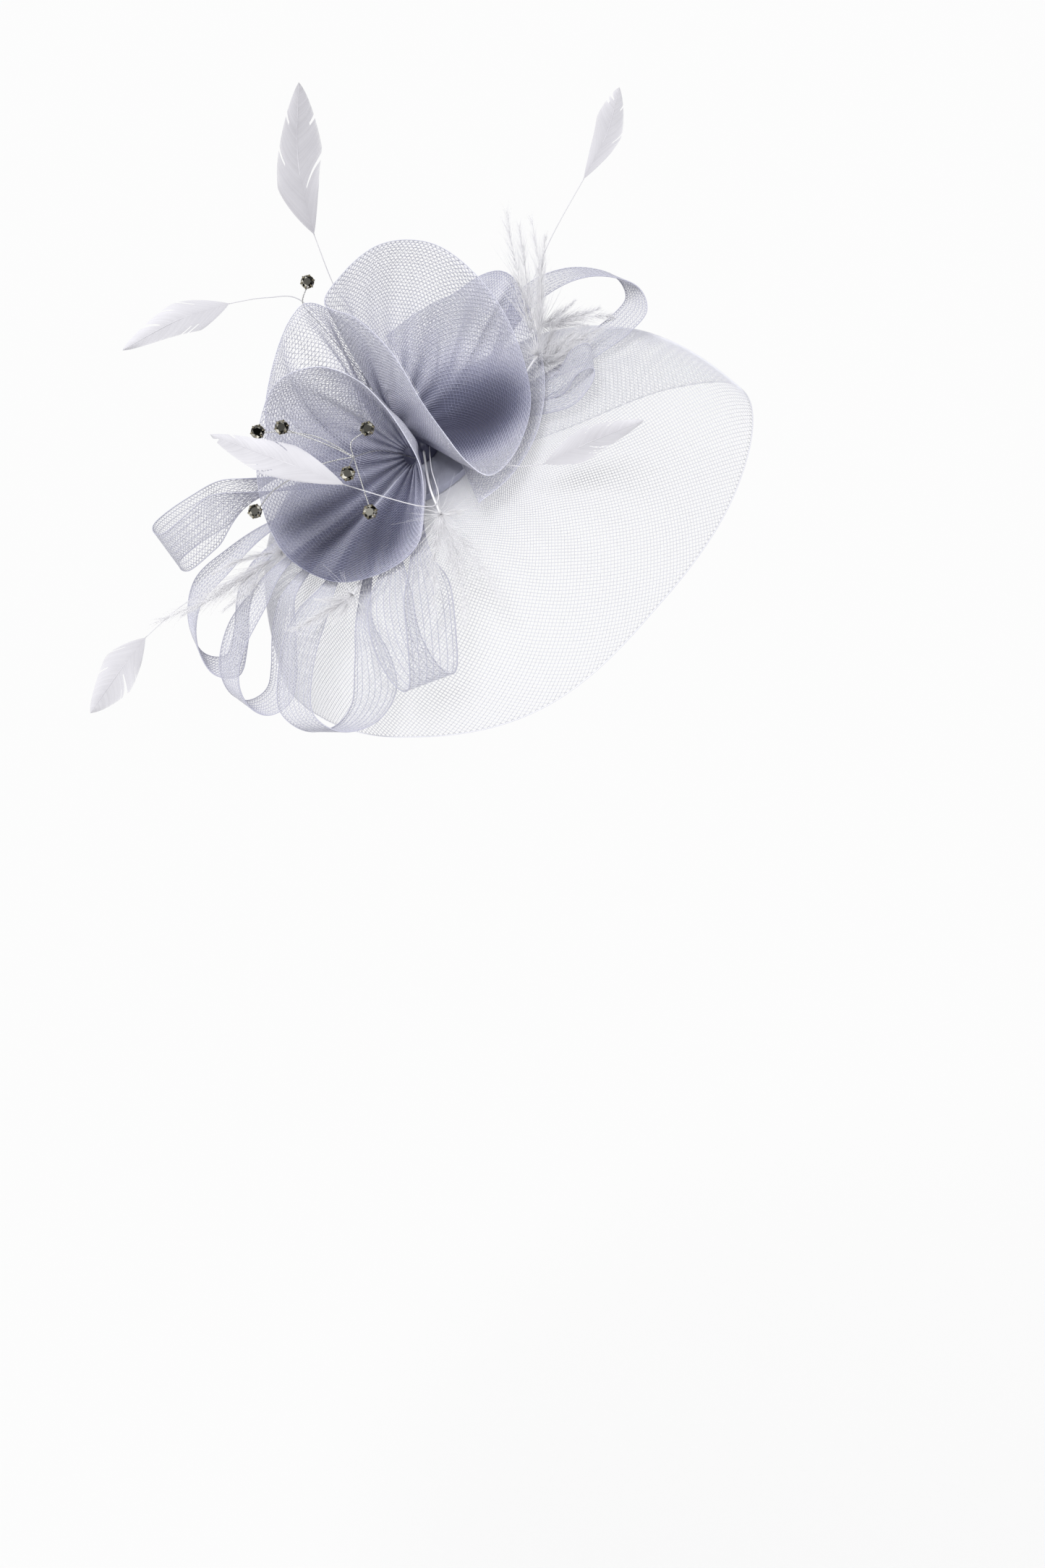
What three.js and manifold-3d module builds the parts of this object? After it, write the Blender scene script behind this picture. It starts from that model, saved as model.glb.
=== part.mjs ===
// A fascinator: a domed open-net crin brim on a small felt base, with a flower of four wide
// crin petals, loops of narrow crin ribbon, quill feathers, soft tufts and rhinestones on wires.
// Millimetres, +Z up as worn. The wearer looks towards -Y, and the origin is the middle of the
// underside of the felt base, where the hat sits on the head.
import * as THREE from 'three';
import { mergeVertices } from 'three/addons/utils/BufferGeometryUtils.js';
import manifoldModule from 'manifold-3d';

const wasm = await manifoldModule();
wasm.setup();

// Driving dimensions
const gap = 0.3;
const tiltDegrees = 35;          // the base leans to the wearer's right
const trimTurnDegrees = -35;     // the trim faces the front right
const trimRiseDegrees = 10;
const feltRadius = 40;
const feltThickness = 3;
const combWidth = 42;
const combSpineDepth = 7;
const combThickness = 1.6;
const combTeeth = 9;
const toothLength = 24;
const toothWidth = 2.2;
const knotRadius = 12;
const knotHeight = 15;
const brimInnerRadius = 30;
const brimReach = 145;
const brimDrop = 62;
const brimWall = 1.1;
const petalReach = 100;
const petalWall = 1.2;
const throatRadius = 4.5;
const petalRuffles = 7;
const ruffleDepth = 1.2;
const rootRadius = 34;
const loopReach = 100;
const ribbonWidth = 25;
const ribbonPinch = 4.5;
const ribbonWall = 1;
const quillReach = 100;
const quillRadius = 0.7;
const vaneWall = 1;
const plumeReach = 100;
const plumeHeadRadius = 2.2;
const barbRadius = 1.1;
const sprayReach = 100;
const wireRadius = 0.6;
const stoneRadius = 3.4;
const crownHeight = 1.3;
const settingDepth = 2.6;

const crin = { color: 0xb4b6cc, roughness: 0.55, metalness: 0 };
const netCrin = { color: 0xc3c5d6, roughness: 0.55, metalness: 0 };
const felt = { color: 0xa9abc0, roughness: 0.95, metalness: 0 };
const feather = { color: 0xd7d5df, roughness: 0.9, metalness: 0 };
const silverWire = { color: 0xc9c9cc, roughness: 0.3, metalness: 1 };
const comb = { color: 0xd8dadf, roughness: 0.3, metalness: 0 };
const rhinestone = { color: 0xb8b09a, roughness: 0.1, metalness: 0.4 };

const radians = THREE.MathUtils.degToRad;
const { clamp, lerp, smoothstep } = THREE.MathUtils;

const fascinator = new THREE.Group();
const base = new THREE.Group();
base.rotation.y = radians(-tiltDegrees);
const trim = new THREE.Group();
trim.rotation.set(radians(90 - trimRiseDegrees), 0, radians(trimTurnDegrees), 'ZYX');
fascinator.add(base, trim);
base.updateMatrixWorld(true);
trim.updateMatrixWorld(true);
const trimFromBase = trim.matrixWorld.clone().invert().multiply(base.matrixWorld);

function addPiece(group, name, geometry, look) {
  const mesh = new THREE.Mesh(geometry, new THREE.MeshStandardMaterial(look));
  mesh.name = name;
  group.add(mesh);
}

// A spot above the base, by clock angle, distance from its middle and height, in the trim's frame
function overBase(clockDegrees, radius, height) {
  const clock = radians(clockDegrees);
  const spot = new THREE.Vector3(radius * Math.cos(clock), radius * Math.sin(clock), height);
  return spot.applyMatrix4(trimFromBase);
}

// A smooth value from one column of a table, at a share from 0 to 1 of the way down its rows
function smoothColumn(rows, column, share, closed) {
  const spans = closed ? rows.length : rows.length - 1;
  const place = share * spans;
  const first = closed ? Math.floor(place) : Math.min(Math.floor(place), spans - 1);
  const t = place - first;
  const at = (i) => {
    const row = closed ? (i + rows.length * 2) % rows.length : clamp(i, 0, rows.length - 1);
    return rows[row][column];
  };
  const [a, b, c, d] = [at(first - 1), at(first), at(first + 1), at(first + 2)];
  const pull = (c - a) / 2;
  const push = (d - b) / 2;
  return b + t * (pull + t * (3 * (c - b) - 2 * pull - push + t * (2 * (b - c) + pull + push)));
}

function smoothPoint(rows, share, closed, reach) {
  return new THREE.Vector3(
    smoothColumn(rows, 'across', share, closed),
    smoothColumn(rows, 'up', share, closed),
    smoothColumn(rows, 'out', share, closed),
  ).multiplyScalar(reach);
}

// A closed shell of even thickness on both sides of surface(u, v), which may close round in u
function shellGeometry(surface, thickness, stepsU, stepsV, closedU) {
  const columns = closedU ? stepsU : stepsU + 1;
  const rows = stepsV + 1;
  const nudge = 1e-3;
  const positions = [];
  for (const side of [0.5, -0.5]) {
    for (let j = 0; j < rows; j += 1) {
      for (let i = 0; i < columns; i += 1) {
        const u = i / stepsU;
        const v = j / stepsV;
        const uBack = closedU ? u - nudge : Math.max(u - nudge, 0);
        const uNext = closedU ? u + nudge : Math.min(u + nudge, 1);
        const alongU = surface(uNext, v).sub(surface(uBack, v));
        const alongV = surface(u, Math.min(v + nudge, 1)).sub(surface(u, Math.max(v - nudge, 0)));
        const normal = alongU.cross(alongV).normalize();
        const point = surface(u, v).addScaledVector(normal, side * thickness);
        positions.push(point.x, point.y, point.z);
      }
    }
  }
  const layer = rows * columns;
  const index = [];
  const quad = (a, b, c, d) => index.push(a, b, c, a, c, d);
  const at = (i, j) => j * columns + (i % columns);
  for (let j = 0; j < stepsV; j += 1) {
    for (let i = 0; i < stepsU; i += 1) {
      const [a, b, c, d] = [at(i, j), at(i + 1, j), at(i + 1, j + 1), at(i, j + 1)];
      quad(a, b, c, d);
      quad(layer + d, layer + c, layer + b, layer + a);
    }
  }
  for (let i = 0; i < stepsU; i += 1) {
    quad(at(i + 1, 0), at(i, 0), layer + at(i, 0), layer + at(i + 1, 0));
    quad(at(i, stepsV), at(i + 1, stepsV), layer + at(i + 1, stepsV), layer + at(i, stepsV));
  }
  if (!closedU) {
    for (let j = 0; j < stepsV; j += 1) {
      quad(at(0, j), at(0, j + 1), layer + at(0, j + 1), layer + at(0, j));
      quad(at(stepsU, j + 1), at(stepsU, j), layer + at(stepsU, j), layer + at(stepsU, j + 1));
    }
  }
  const geometry = new THREE.BufferGeometry();
  geometry.setAttribute('position', new THREE.Float32BufferAttribute(positions, 3));
  geometry.setIndex(index);
  geometry.computeVertexNormals();
  return geometry;
}

// A rod of a few sides along a list of points, thinning from its first radius to its last
function rodGeometry(points, firstRadius, lastRadius, steps, sides) {
  const curve = new THREE.CatmullRomCurve3(points, false, 'centripetal');
  const frames = curve.computeFrenetFrames(steps, false);
  const positions = [];
  for (let j = 0; j <= steps; j += 1) {
    const middle = curve.getPointAt(j / steps);
    const radius = lerp(firstRadius, lastRadius, j / steps);
    for (let i = 0; i < sides; i += 1) {
      const turn = (i / sides) * 2 * Math.PI;
      const spot = middle.clone();
      spot.addScaledVector(frames.normals[j], radius * Math.cos(turn));
      spot.addScaledVector(frames.binormals[j], radius * Math.sin(turn));
      positions.push(spot.x, spot.y, spot.z);
    }
  }
  const index = [];
  const at = (i, j) => j * sides + (i % sides);
  for (let j = 0; j < steps; j += 1) {
    for (let i = 0; i < sides; i += 1) {
      index.push(at(i, j), at(i + 1, j), at(i + 1, j + 1));
      index.push(at(i, j), at(i + 1, j + 1), at(i, j + 1));
    }
  }
  for (let i = 1; i < sides - 1; i += 1) {
    index.push(at(0, 0), at(i + 1, 0), at(i, 0));
    index.push(at(0, steps), at(i, steps), at(i + 1, steps));
  }
  const geometry = new THREE.BufferGeometry();
  geometry.setAttribute('position', new THREE.Float32BufferAttribute(positions, 3));
  geometry.setIndex(index);
  geometry.computeVertexNormals();
  return geometry;
}

function toManifold(geometry) {
  const position = geometry.attributes.position;
  return new wasm.Manifold(new wasm.Mesh({
    numProp: 3,
    vertProperties: new Float32Array(position.array),
    triVerts: new Uint32Array(geometry.index.array),
  }));
}

// One shared point for each corner, so that a primitive closes
function weld(geometry) {
  geometry.deleteAttribute('normal');
  geometry.deleteAttribute('uv');
  return mergeVertices(geometry);
}

function fuse(geometries) {
  const mesh = wasm.Manifold.union(geometries.map(toManifold)).getMesh();
  const geometry = new THREE.BufferGeometry();
  geometry.setAttribute('position', new THREE.Float32BufferAttribute(mesh.vertProperties, 3));
  geometry.setIndex([...mesh.triVerts]);
  geometry.computeVertexNormals();
  return geometry;
}

// Felt base and comb

function feltGeometry() {
  const outline = new THREE.Shape().absarc(0, 0, feltRadius, 0, 2 * Math.PI);
  return new THREE.ExtrudeGeometry(outline, {
    depth: feltThickness,
    bevelEnabled: false,
    curveSegments: 24,
  });
}

// One flat outline: a spine with square teeth that point towards the wearer's face
function combGeometry() {
  const pitch = (combWidth - toothWidth) / (combTeeth - 1);
  const outline = new THREE.Shape();
  outline.moveTo(combWidth / 2, combSpineDepth);
  outline.lineTo(-combWidth / 2, combSpineDepth);
  for (let i = 0; i < combTeeth; i += 1) {
    const left = -combWidth / 2 + i * pitch;
    outline.lineTo(left, i === 0 ? -toothLength : 0);
    outline.lineTo(left, -toothLength);
    outline.lineTo(left + toothWidth, -toothLength);
    outline.lineTo(left + toothWidth, i === combTeeth - 1 ? -toothLength : 0);
  }
  const geometry = new THREE.ExtrudeGeometry(outline, { depth: combThickness, bevelEnabled: false });
  geometry.translate(0, toothLength / 2, -gap - combThickness);
  return geometry;
}

addPiece(base, 'felt_base', feltGeometry(), felt);
addPiece(base, 'hair_comb', combGeometry(), comb);

// The bound ends of the petals, a low button on the middle of the felt

function knotGeometry() {
  const profile = [
    new THREE.Vector2(0, 0),
    new THREE.Vector2(knotRadius, 0),
    new THREE.Vector2(knotRadius, knotHeight * 0.5),
    new THREE.Vector2(knotRadius * 0.7, knotHeight * 0.88),
    new THREE.Vector2(0, knotHeight),
  ];
  const geometry = new THREE.LatheGeometry(profile, 24);
  geometry.rotateX(Math.PI / 2);
  geometry.translate(0, 0, feltThickness + gap);
  return geometry;
}

addPiece(base, 'gather_knot', knotGeometry(), crin);

// Brim. A row for each twelfth of the way round, from the wearer's left, with its reach and drop
// as shares of the brim's own. The net runs flat under the felt and then turns down more and more.

const brimRows = [
  { reach: 1.02, drop: 1.25, turn: 6, crown: 0.0 },
  { reach: 0.93, drop: 1.45, turn: 4, crown: 0.0 },
  { reach: 0.91, drop: 1.4, turn: 3, crown: 0.0 },
  { reach: 0.88, drop: 1.2, turn: 3, crown: 0.06 },
  { reach: 0.84, drop: 1.05, turn: 4, crown: 0.1 },
  { reach: 0.84, drop: 1.03, turn: 4.5, crown: 0.1 },
  { reach: 0.86, drop: 0.97, turn: 4, crown: 0.07 },
  { reach: 0.95, drop: 0.97, turn: 3, crown: 0.03 },
  { reach: 1.05, drop: 1.02, turn: 2.6, crown: 0.0 },
  { reach: 1.01, drop: 0.97, turn: 2.6, crown: 0.0 },
  { reach: 1.02, drop: 0.97, turn: 3.5, crown: 0.0 },
  { reach: 1.08, drop: 0.97, turn: 6, crown: 0.0 },
];

function brimSurface(u, v) {
  const clock = 2 * Math.PI * u;
  const reach = brimReach * smoothColumn(brimRows, 'reach', u, true);
  const drop = brimDrop * smoothColumn(brimRows, 'drop', u, true);
  const crown = brimDrop * smoothColumn(brimRows, 'crown', u, true);
  const radius = lerp(brimInnerRadius, reach, 1 - (1 - v) ** 1.3);
  const past = Math.max(0, (radius - feltRadius) / (reach - feltRadius));
  const fall = drop * past ** smoothColumn(brimRows, 'turn', u, true);
  const height = crown * Math.sin(Math.PI * past) ** 2 - fall - gap - brimWall / 2;
  return new THREE.Vector3(radius * Math.cos(clock), radius * Math.sin(clock), height);
}

addPiece(base, 'crin_brim', shellGeometry(brimSurface, brimWall, 48, 9, true), netCrin);

// Petals. Each is a sheet from a small gathered throat to a rim, and a table goes round the rim.
// across, up and out are shares of the petal's reach, as seen from where the trim faces, and
// belly is how far the sheet swells between throat and rim.

const rightRim = [
  { across: -0.47, up: 0.75, out: 0.26, belly: 0.02 },
  { across: -0.38, up: 0.91, out: 0.1, belly: 0.06 },
  { across: -0.23, up: 1.04, out: 0.0, belly: 0.1 },
  { across: -0.06, up: 1.08, out: -0.06, belly: 0.12 },
  { across: 0.11, up: 1.04, out: -0.08, belly: 0.14 },
  { across: 0.28, up: 0.9, out: -0.04, belly: 0.16 },
  { across: 0.41, up: 0.71, out: 0.08, belly: 0.12 },
  { across: 0.5, up: 0.46, out: 0.28, belly: 0.07 },
  { across: 0.52, up: 0.24, out: 0.47, belly: 0.05 },
  { across: 0.44, up: 0.03, out: 0.68, belly: 0.04 },
  { across: 0.32, up: -0.08, out: 0.8, belly: 0.02 },
  { across: 0.21, up: -0.02, out: 0.77, belly: 0.01 },
  { across: 0.1, up: 0.12, out: 0.69, belly: 0.02 },
  { across: -0.01, up: 0.28, out: 0.58, belly: 0.02 },
  { across: -0.14, up: 0.5, out: 0.48, belly: 0.02 },
  { across: -0.31, up: 0.67, out: 0.37, belly: 0.02 },
];

const leftRim = [
  { across: -0.2, up: 0.48, out: -0.02, belly: 0.0 },
  { across: -0.34, up: 0.64, out: 0.02, belly: 0.0 },
  { across: -0.47, up: 0.74, out: 0.06, belly: 0.01 },
  { across: -0.57, up: 0.76, out: 0.11, belly: 0.03 },
  { across: -0.64, up: 0.69, out: 0.13, belly: 0.06 },
  { across: -0.7, up: 0.57, out: 0.1, belly: 0.08 },
  { across: -0.75, up: 0.41, out: 0.08, belly: 0.08 },
  { across: -0.78, up: 0.24, out: 0.07, belly: 0.08 },
  { across: -0.77, up: 0.06, out: 0.07, belly: 0.06 },
];

const frontRim = [
  { across: -0.78, up: 0.22, out: 0.32, belly: 0.06 },
  { across: -0.69, up: 0.38, out: 0.38, belly: 0.06 },
  { across: -0.5, up: 0.44, out: 0.46, belly: 0.06 },
  { across: -0.32, up: 0.38, out: 0.53, belly: 0.05 },
  { across: -0.19, up: 0.26, out: 0.6, belly: 0.04 },
  { across: -0.08, up: 0.1, out: 0.68, belly: 0.03 },
  { across: -0.01, up: -0.05, out: 0.74, belly: 0.02 },
  { across: 0.0, up: -0.23, out: 0.78, belly: 0.02 },
  { across: -0.03, up: -0.4, out: 0.82, belly: 0.02 },
  { across: -0.17, up: -0.52, out: 0.81, belly: 0.02 },
  { across: -0.38, up: -0.58, out: 0.72, belly: 0.03 },
  { across: -0.55, up: -0.54, out: 0.57, belly: 0.05 },
  { across: -0.69, up: -0.43, out: 0.47, belly: 0.06 },
  { across: -0.78, up: -0.24, out: 0.38, belly: 0.06 },
  { across: -0.81, up: -0.02, out: 0.33, belly: 0.06 },
];

const backRim = [
  { across: -0.18, up: 0.62, out: -0.34, belly: 0.0 },
  { across: -0.02, up: 0.74, out: -0.35, belly: 0.0 },
  { across: 0.16, up: 0.83, out: -0.35, belly: 0.02 },
  { across: 0.3, up: 0.92, out: -0.33, belly: 0.03 },
  { across: 0.41, up: 0.94, out: -0.28, belly: 0.03 },
  { across: 0.49, up: 0.87, out: -0.22, belly: 0.03 },
  { across: 0.56, up: 0.68, out: -0.1, belly: 0.02 },
  { across: 0.6, up: 0.46, out: 0.1, belly: 0.02 },
  { across: 0.59, up: 0.26, out: 0.32, belly: 0.01 },
  { across: 0.53, up: 0.08, out: 0.53, belly: 0.0 },
  { across: 0.41, up: -0.09, out: 0.7, belly: 0.0 },
  { across: 0.26, up: -0.21, out: 0.74, belly: 0.0 },
];

function petalSurface(rows, closed, throat, ruffles, ruffleDepth) {
  const middle = new THREE.Vector3();
  const samples = 24;
  for (let i = 0; i < samples; i += 1) {
    middle.addScaledVector(smoothPoint(rows, i / samples, closed, petalReach), 1 / samples);
  }
  const axis = middle.clone().sub(throat).normalize();
  return (u, v) => {
    const rim = smoothPoint(rows, u, closed, petalReach);
    const sideways = rim.clone().sub(throat);
    sideways.addScaledVector(axis, -sideways.dot(axis));
    const outward = sideways.clone().normalize();
    const foot = throat.clone().addScaledVector(outward, throatRadius);
    const belly = petalReach * smoothColumn(rows, 'belly', u, closed);
    const ruffle = ruffleDepth * Math.sin(2 * Math.PI * ruffles * u) * v * (1 - v) * 4;
    const point = foot.lerp(rim, v);
    return point.addScaledVector(outward, belly * Math.sin(Math.PI * v) + ruffle);
  };
}

// The right petal gathers on top of the knot, the others against its side
const overKnot = knotHeight + throatRadius;
const besideKnot = knotRadius + throatRadius + petalWall;
const petals = [
  { name: 'petal_right', rows: rightRim, closed: true, clock: 0, out: 0, height: overKnot },
  { name: 'petal_left', rows: leftRim, closed: false, clock: 148, out: besideKnot, height: 8 },
  { name: 'petal_front', rows: frontRim, closed: true, clock: 230, out: besideKnot, height: 11 },
  { name: 'petal_back', rows: backRim, closed: false, clock: 350, out: besideKnot, height: 6 },
];
for (const { name, rows, closed, clock, out, height } of petals) {
  const throat = overBase(clock, out, feltThickness + height);
  const surface = petalSurface(rows, closed, throat, petalRuffles, ruffleDepth);
  addPiece(trim, name, shellGeometry(surface, petalWall, closed ? 30 : 20, 7, closed), crin);
}

// Ribbon loops. Each leaves the felt at one clock angle, goes out under the petals, turns over
// and comes back at another. reach is the distance from the middle of the base and height the
// rise above it, both shares of the loop's reach, and clock is in degrees. A flat loop's width lies
// along the base; a standing loop's width points away from it.

const loops = [
  {
    name: 'loop_1',
    standing: true,
    start: 122,
    end: 136,
    rows: [
      { clock: 137, reach: 0.88, height: 0.26 },
      { clock: 134, reach: 1.12, height: 0.19 },
      { clock: 137, reach: 1.29, height: 0.19 },
      { clock: 144, reach: 1.36, height: 0.23 },
      { clock: 151, reach: 1.3, height: 0.25 },
      { clock: 151, reach: 1.12, height: 0.28 },
      { clock: 148, reach: 0.91, height: 0.3 },
    ],
  },
  {
    name: 'loop_2',
    standing: false,
    start: 146,
    end: 157,
    rows: [
      { clock: 149, reach: 0.86, height: 0.09 },
      { clock: 151, reach: 1.12, height: 0.06 },
      { clock: 153, reach: 1.32, height: 0.02 },
      { clock: 155, reach: 1.45, height: -0.12 },
      { clock: 158, reach: 1.48, height: -0.28 },
      { clock: 160, reach: 1.38, height: -0.35 },
      { clock: 160, reach: 1.26, height: -0.24 },
      { clock: 159, reach: 1.12, height: -0.07 },
      { clock: 158, reach: 0.92, height: 0.04 },
    ],
  },
  {
    name: 'loop_3',
    standing: false,
    start: 176,
    end: 185,
    rows: [
      { clock: 177, reach: 0.92, height: 0.1 },
      { clock: 172, reach: 1.1, height: 0.0 },
      { clock: 169, reach: 1.28, height: -0.11 },
      { clock: 169, reach: 1.42, height: -0.24 },
      { clock: 171, reach: 1.47, height: -0.36 },
      { clock: 173, reach: 1.43, height: -0.45 },
      { clock: 175, reach: 1.32, height: -0.45 },
      { clock: 177, reach: 1.23, height: -0.34 },
      { clock: 180, reach: 1.1, height: -0.11 },
      { clock: 184, reach: 0.97, height: 0.04 },
    ],
  },
  {
    name: 'loop_4',
    standing: false,
    start: 196,
    end: 206,
    rows: [
      { clock: 199, reach: 0.93, height: 0.05 },
      { clock: 197, reach: 1.08, height: 0.02 },
      { clock: 193, reach: 1.2, height: -0.08 },
      { clock: 190, reach: 1.32, height: -0.23 },
      { clock: 191, reach: 1.44, height: -0.35 },
      { clock: 196, reach: 1.46, height: -0.45 },
      { clock: 203, reach: 1.41, height: -0.46 },
      { clock: 209, reach: 1.34, height: -0.36 },
      { clock: 211, reach: 1.24, height: -0.2 },
      { clock: 210, reach: 1.08, height: -0.06 },
    ],
  },
  {
    name: 'loop_5',
    standing: false,
    start: 217,
    end: 229,
    rows: [
      { clock: 220, reach: 0.92, height: 0.04 },
      { clock: 220, reach: 1.13, height: 0.0 },
      { clock: 220, reach: 1.29, height: -0.12 },
      { clock: 222, reach: 1.41, height: -0.26 },
      { clock: 225, reach: 1.45, height: -0.28 },
      { clock: 228, reach: 1.34, height: -0.13 },
      { clock: 230, reach: 1.18, height: 0.0 },
      { clock: 230, reach: 0.98, height: 0.05 },
    ],
  },
  {
    name: 'loop_6',
    standing: false,
    start: 364,
    end: 333,
    rows: [
      { clock: 363, reach: 0.84, height: 0.18 },
      { clock: 359, reach: 1.05, height: 0.24 },
      { clock: 353, reach: 1.24, height: 0.21 },
      { clock: 348, reach: 1.37, height: 0.09 },
      { clock: 343, reach: 1.34, height: 0.0 },
      { clock: 339, reach: 1.2, height: 0.0 },
      { clock: 336, reach: 1.06, height: 0.02 },
      { clock: 333, reach: 0.86, height: 0.02 },
    ],
  },
  {
    name: 'loop_7',
    standing: false,
    start: 321,
    end: 311,
    rows: [
      { clock: 322, reach: 0.78, height: 0.04 },
      { clock: 323, reach: 0.9, height: 0.1 },
      { clock: 322, reach: 0.99, height: 0.1 },
      { clock: 318, reach: 0.96, height: 0.06 },
      { clock: 313, reach: 0.82, height: 0.03 },
    ],
  },
];

function loopGeometry({ standing, start, end, rows }) {
  const rootHeight = (feltThickness + gap + ribbonWall / 2) / loopReach;
  const overEdge = 1.3;
  const overEdgeHeight = rootHeight + (standing ? 0.05 : 0.008);
  const legs = [
    { clock: start, reach: rootRadius / loopReach, height: rootHeight },
    { clock: start, reach: (overEdge * feltRadius) / loopReach, height: overEdgeHeight },
    ...rows,
    { clock: end, reach: (overEdge * feltRadius) / loopReach, height: overEdgeHeight },
    { clock: end, reach: rootRadius / loopReach, height: rootHeight },
  ];
  const surface = (u, v) => {
    const clock = smoothColumn(legs, 'clock', u, false);
    const reach = loopReach * smoothColumn(legs, 'reach', u, false);
    const risen = loopReach * smoothColumn(legs, 'height', u, false);
    const overFelt = reach < 1.1 * feltRadius;
    const height = overFelt ? Math.max(risen, loopReach * rootHeight) : risen;
    const near = Math.min(u, 1 - u);
    const open = smoothstep(near, 0.1, 0.3);
    const width = lerp(ribbonPinch, ribbonWidth, open) * (v - 0.5);
    const raise = standing ? smoothstep(near, 0.1, 0.24) : 0;
    const sideways = new THREE.Vector3(-Math.sin(radians(clock)), Math.cos(radians(clock)), 0);
    const point = new THREE.Vector3(Math.cos(radians(clock)), Math.sin(radians(clock)), 0);
    point.multiplyScalar(reach);
    point.z = height;
    sideways.multiplyScalar(Math.cos((raise * Math.PI) / 2));
    sideways.z = Math.sin((raise * Math.PI) / 2);
    return point.addScaledVector(sideways, width);
  };
  return shellGeometry(surface, ribbonWall, 30, 1, false);
}

for (const loop of loops) {
  addPiece(base, loop.name, loopGeometry(loop), crin);
}

// Quill feathers. A stripped quill rises from its root and carries a trimmed vane over its last
// stretch. Routes are chosen points in shares of the quill's reach: across, up and out.

const vaneRows = [
  { width: 0.06 },
  { width: 0.36 },
  { width: 0.78 },
  { width: 1.0 },
  { width: 0.94 },
  { width: 0.62 },
  { width: 0.02 },
];

const quills = [
  {
    name: 'quill_1',
    root: overBase(78, rootRadius, feltThickness + gap + quillRadius),
    route: [[-0.22, 0.42, -0.3], [-0.36, 0.75, -0.2], [-0.44, 0.87, -0.16], [-0.53, 1.11, -0.1]],
    vane: [[-0.53, 1.11, -0.1], [-0.6, 1.45, -0.07], [-0.59, 1.84, -0.02]],
    vaneWidth: 24,
  },
  {
    name: 'quill_2',
    root: overBase(104, rootRadius, feltThickness + gap + quillRadius),
    route: [[-0.38, 0.5, -0.2], [-0.59, 0.78, -0.12], [-0.77, 0.8, -0.06], [-0.95, 0.77, -0.02]],
    vane: [[-0.95, 0.77, -0.02], [-1.2, 0.69, 0.01], [-1.48, 0.54, 0.04]],
    vaneWidth: 16,
  },
  {
    name: 'quill_3',
    root: overBase(272, knotRadius + gap + quillRadius, feltThickness + knotHeight * 0.45),
    route: [[0.04, -0.05, 0.62], [0.07, -0.19, 0.8], [-0.02, -0.22, 0.88], [-0.37, -0.12, 0.8]],
    vane: [[-0.37, -0.12, 0.8], [-0.66, -0.01, 0.71], [-1.01, 0.12, 0.62]],
    vaneWidth: 17,
  },
  {
    name: 'quill_4',
    root: overBase(164, rootRadius, feltThickness + gap + quillRadius),
    route: [[-0.6, -0.33, 0.1], [-0.88, -0.55, 0.14], [-1.18, -0.7, 0.12], [-1.4, -0.88, 0.04]],
    vane: [[-1.4, -0.88, 0.04], [-1.53, -1.04, 0.0], [-1.7, -1.27, -0.06]],
    vaneWidth: 20,
  },
  {
    name: 'quill_5',
    root: overBase(22, rootRadius, feltThickness + gap + quillRadius),
    route: [[0.43, 0.6, -0.33], [0.56, 0.87, -0.38], [0.67, 1.12, -0.36], [0.83, 1.4, -0.32]],
    vane: [[0.83, 1.4, -0.32], [0.95, 1.63, -0.3], [1.01, 1.85, -0.28]],
    vaneWidth: 15,
  },
  {
    name: 'quill_6',
    root: overBase(283, knotRadius + gap + quillRadius, feltThickness + knotHeight * 0.45),
    route: [[0.2, -0.03, 0.48], [0.37, -0.03, 0.68], [0.46, -0.04, 0.7], [0.57, -0.03, 0.76]],
    vane: [[0.57, -0.03, 0.76], [0.78, 0.07, 0.83], [1.03, 0.17, 0.93]],
    vaneWidth: 14,
  },
];

function scaled(points, reach) {
  return points.map(([across, up, out]) => new THREE.Vector3(across, up, out).multiplyScalar(reach));
}

function vaneSurface(points, vaneWidth) {
  const rib = new THREE.CatmullRomCurve3(points, false, 'centripetal');
  const face = new THREE.Vector3(0, 0, 1);
  return (u, v) => {
    const side = rib.getTangent(u).cross(face).normalize();
    const width = vaneWidth * smoothColumn(vaneRows, 'width', u, false) * (v - 0.5);
    const cup = 0.06 * vaneWidth * (1 - 4 * (v - 0.5) ** 2);
    return rib.getPoint(u).addScaledVector(side, width).addScaledVector(face, cup);
  };
}

for (const { name, root, route, vane, vaneWidth } of quills) {
  const stem = rodGeometry([root, ...scaled(route, quillReach)], quillRadius, quillRadius, 11, 4);
  const surface = vaneSurface(scaled(vane, quillReach), vaneWidth);
  const blade = shellGeometry(surface, vaneWall, 8, 2, false);
  addPiece(trim, name, fuse([stem, blade]), feather);
}

// Soft tufts. A stalk runs from its root to a head, and tapered locks spread from the head.

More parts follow.
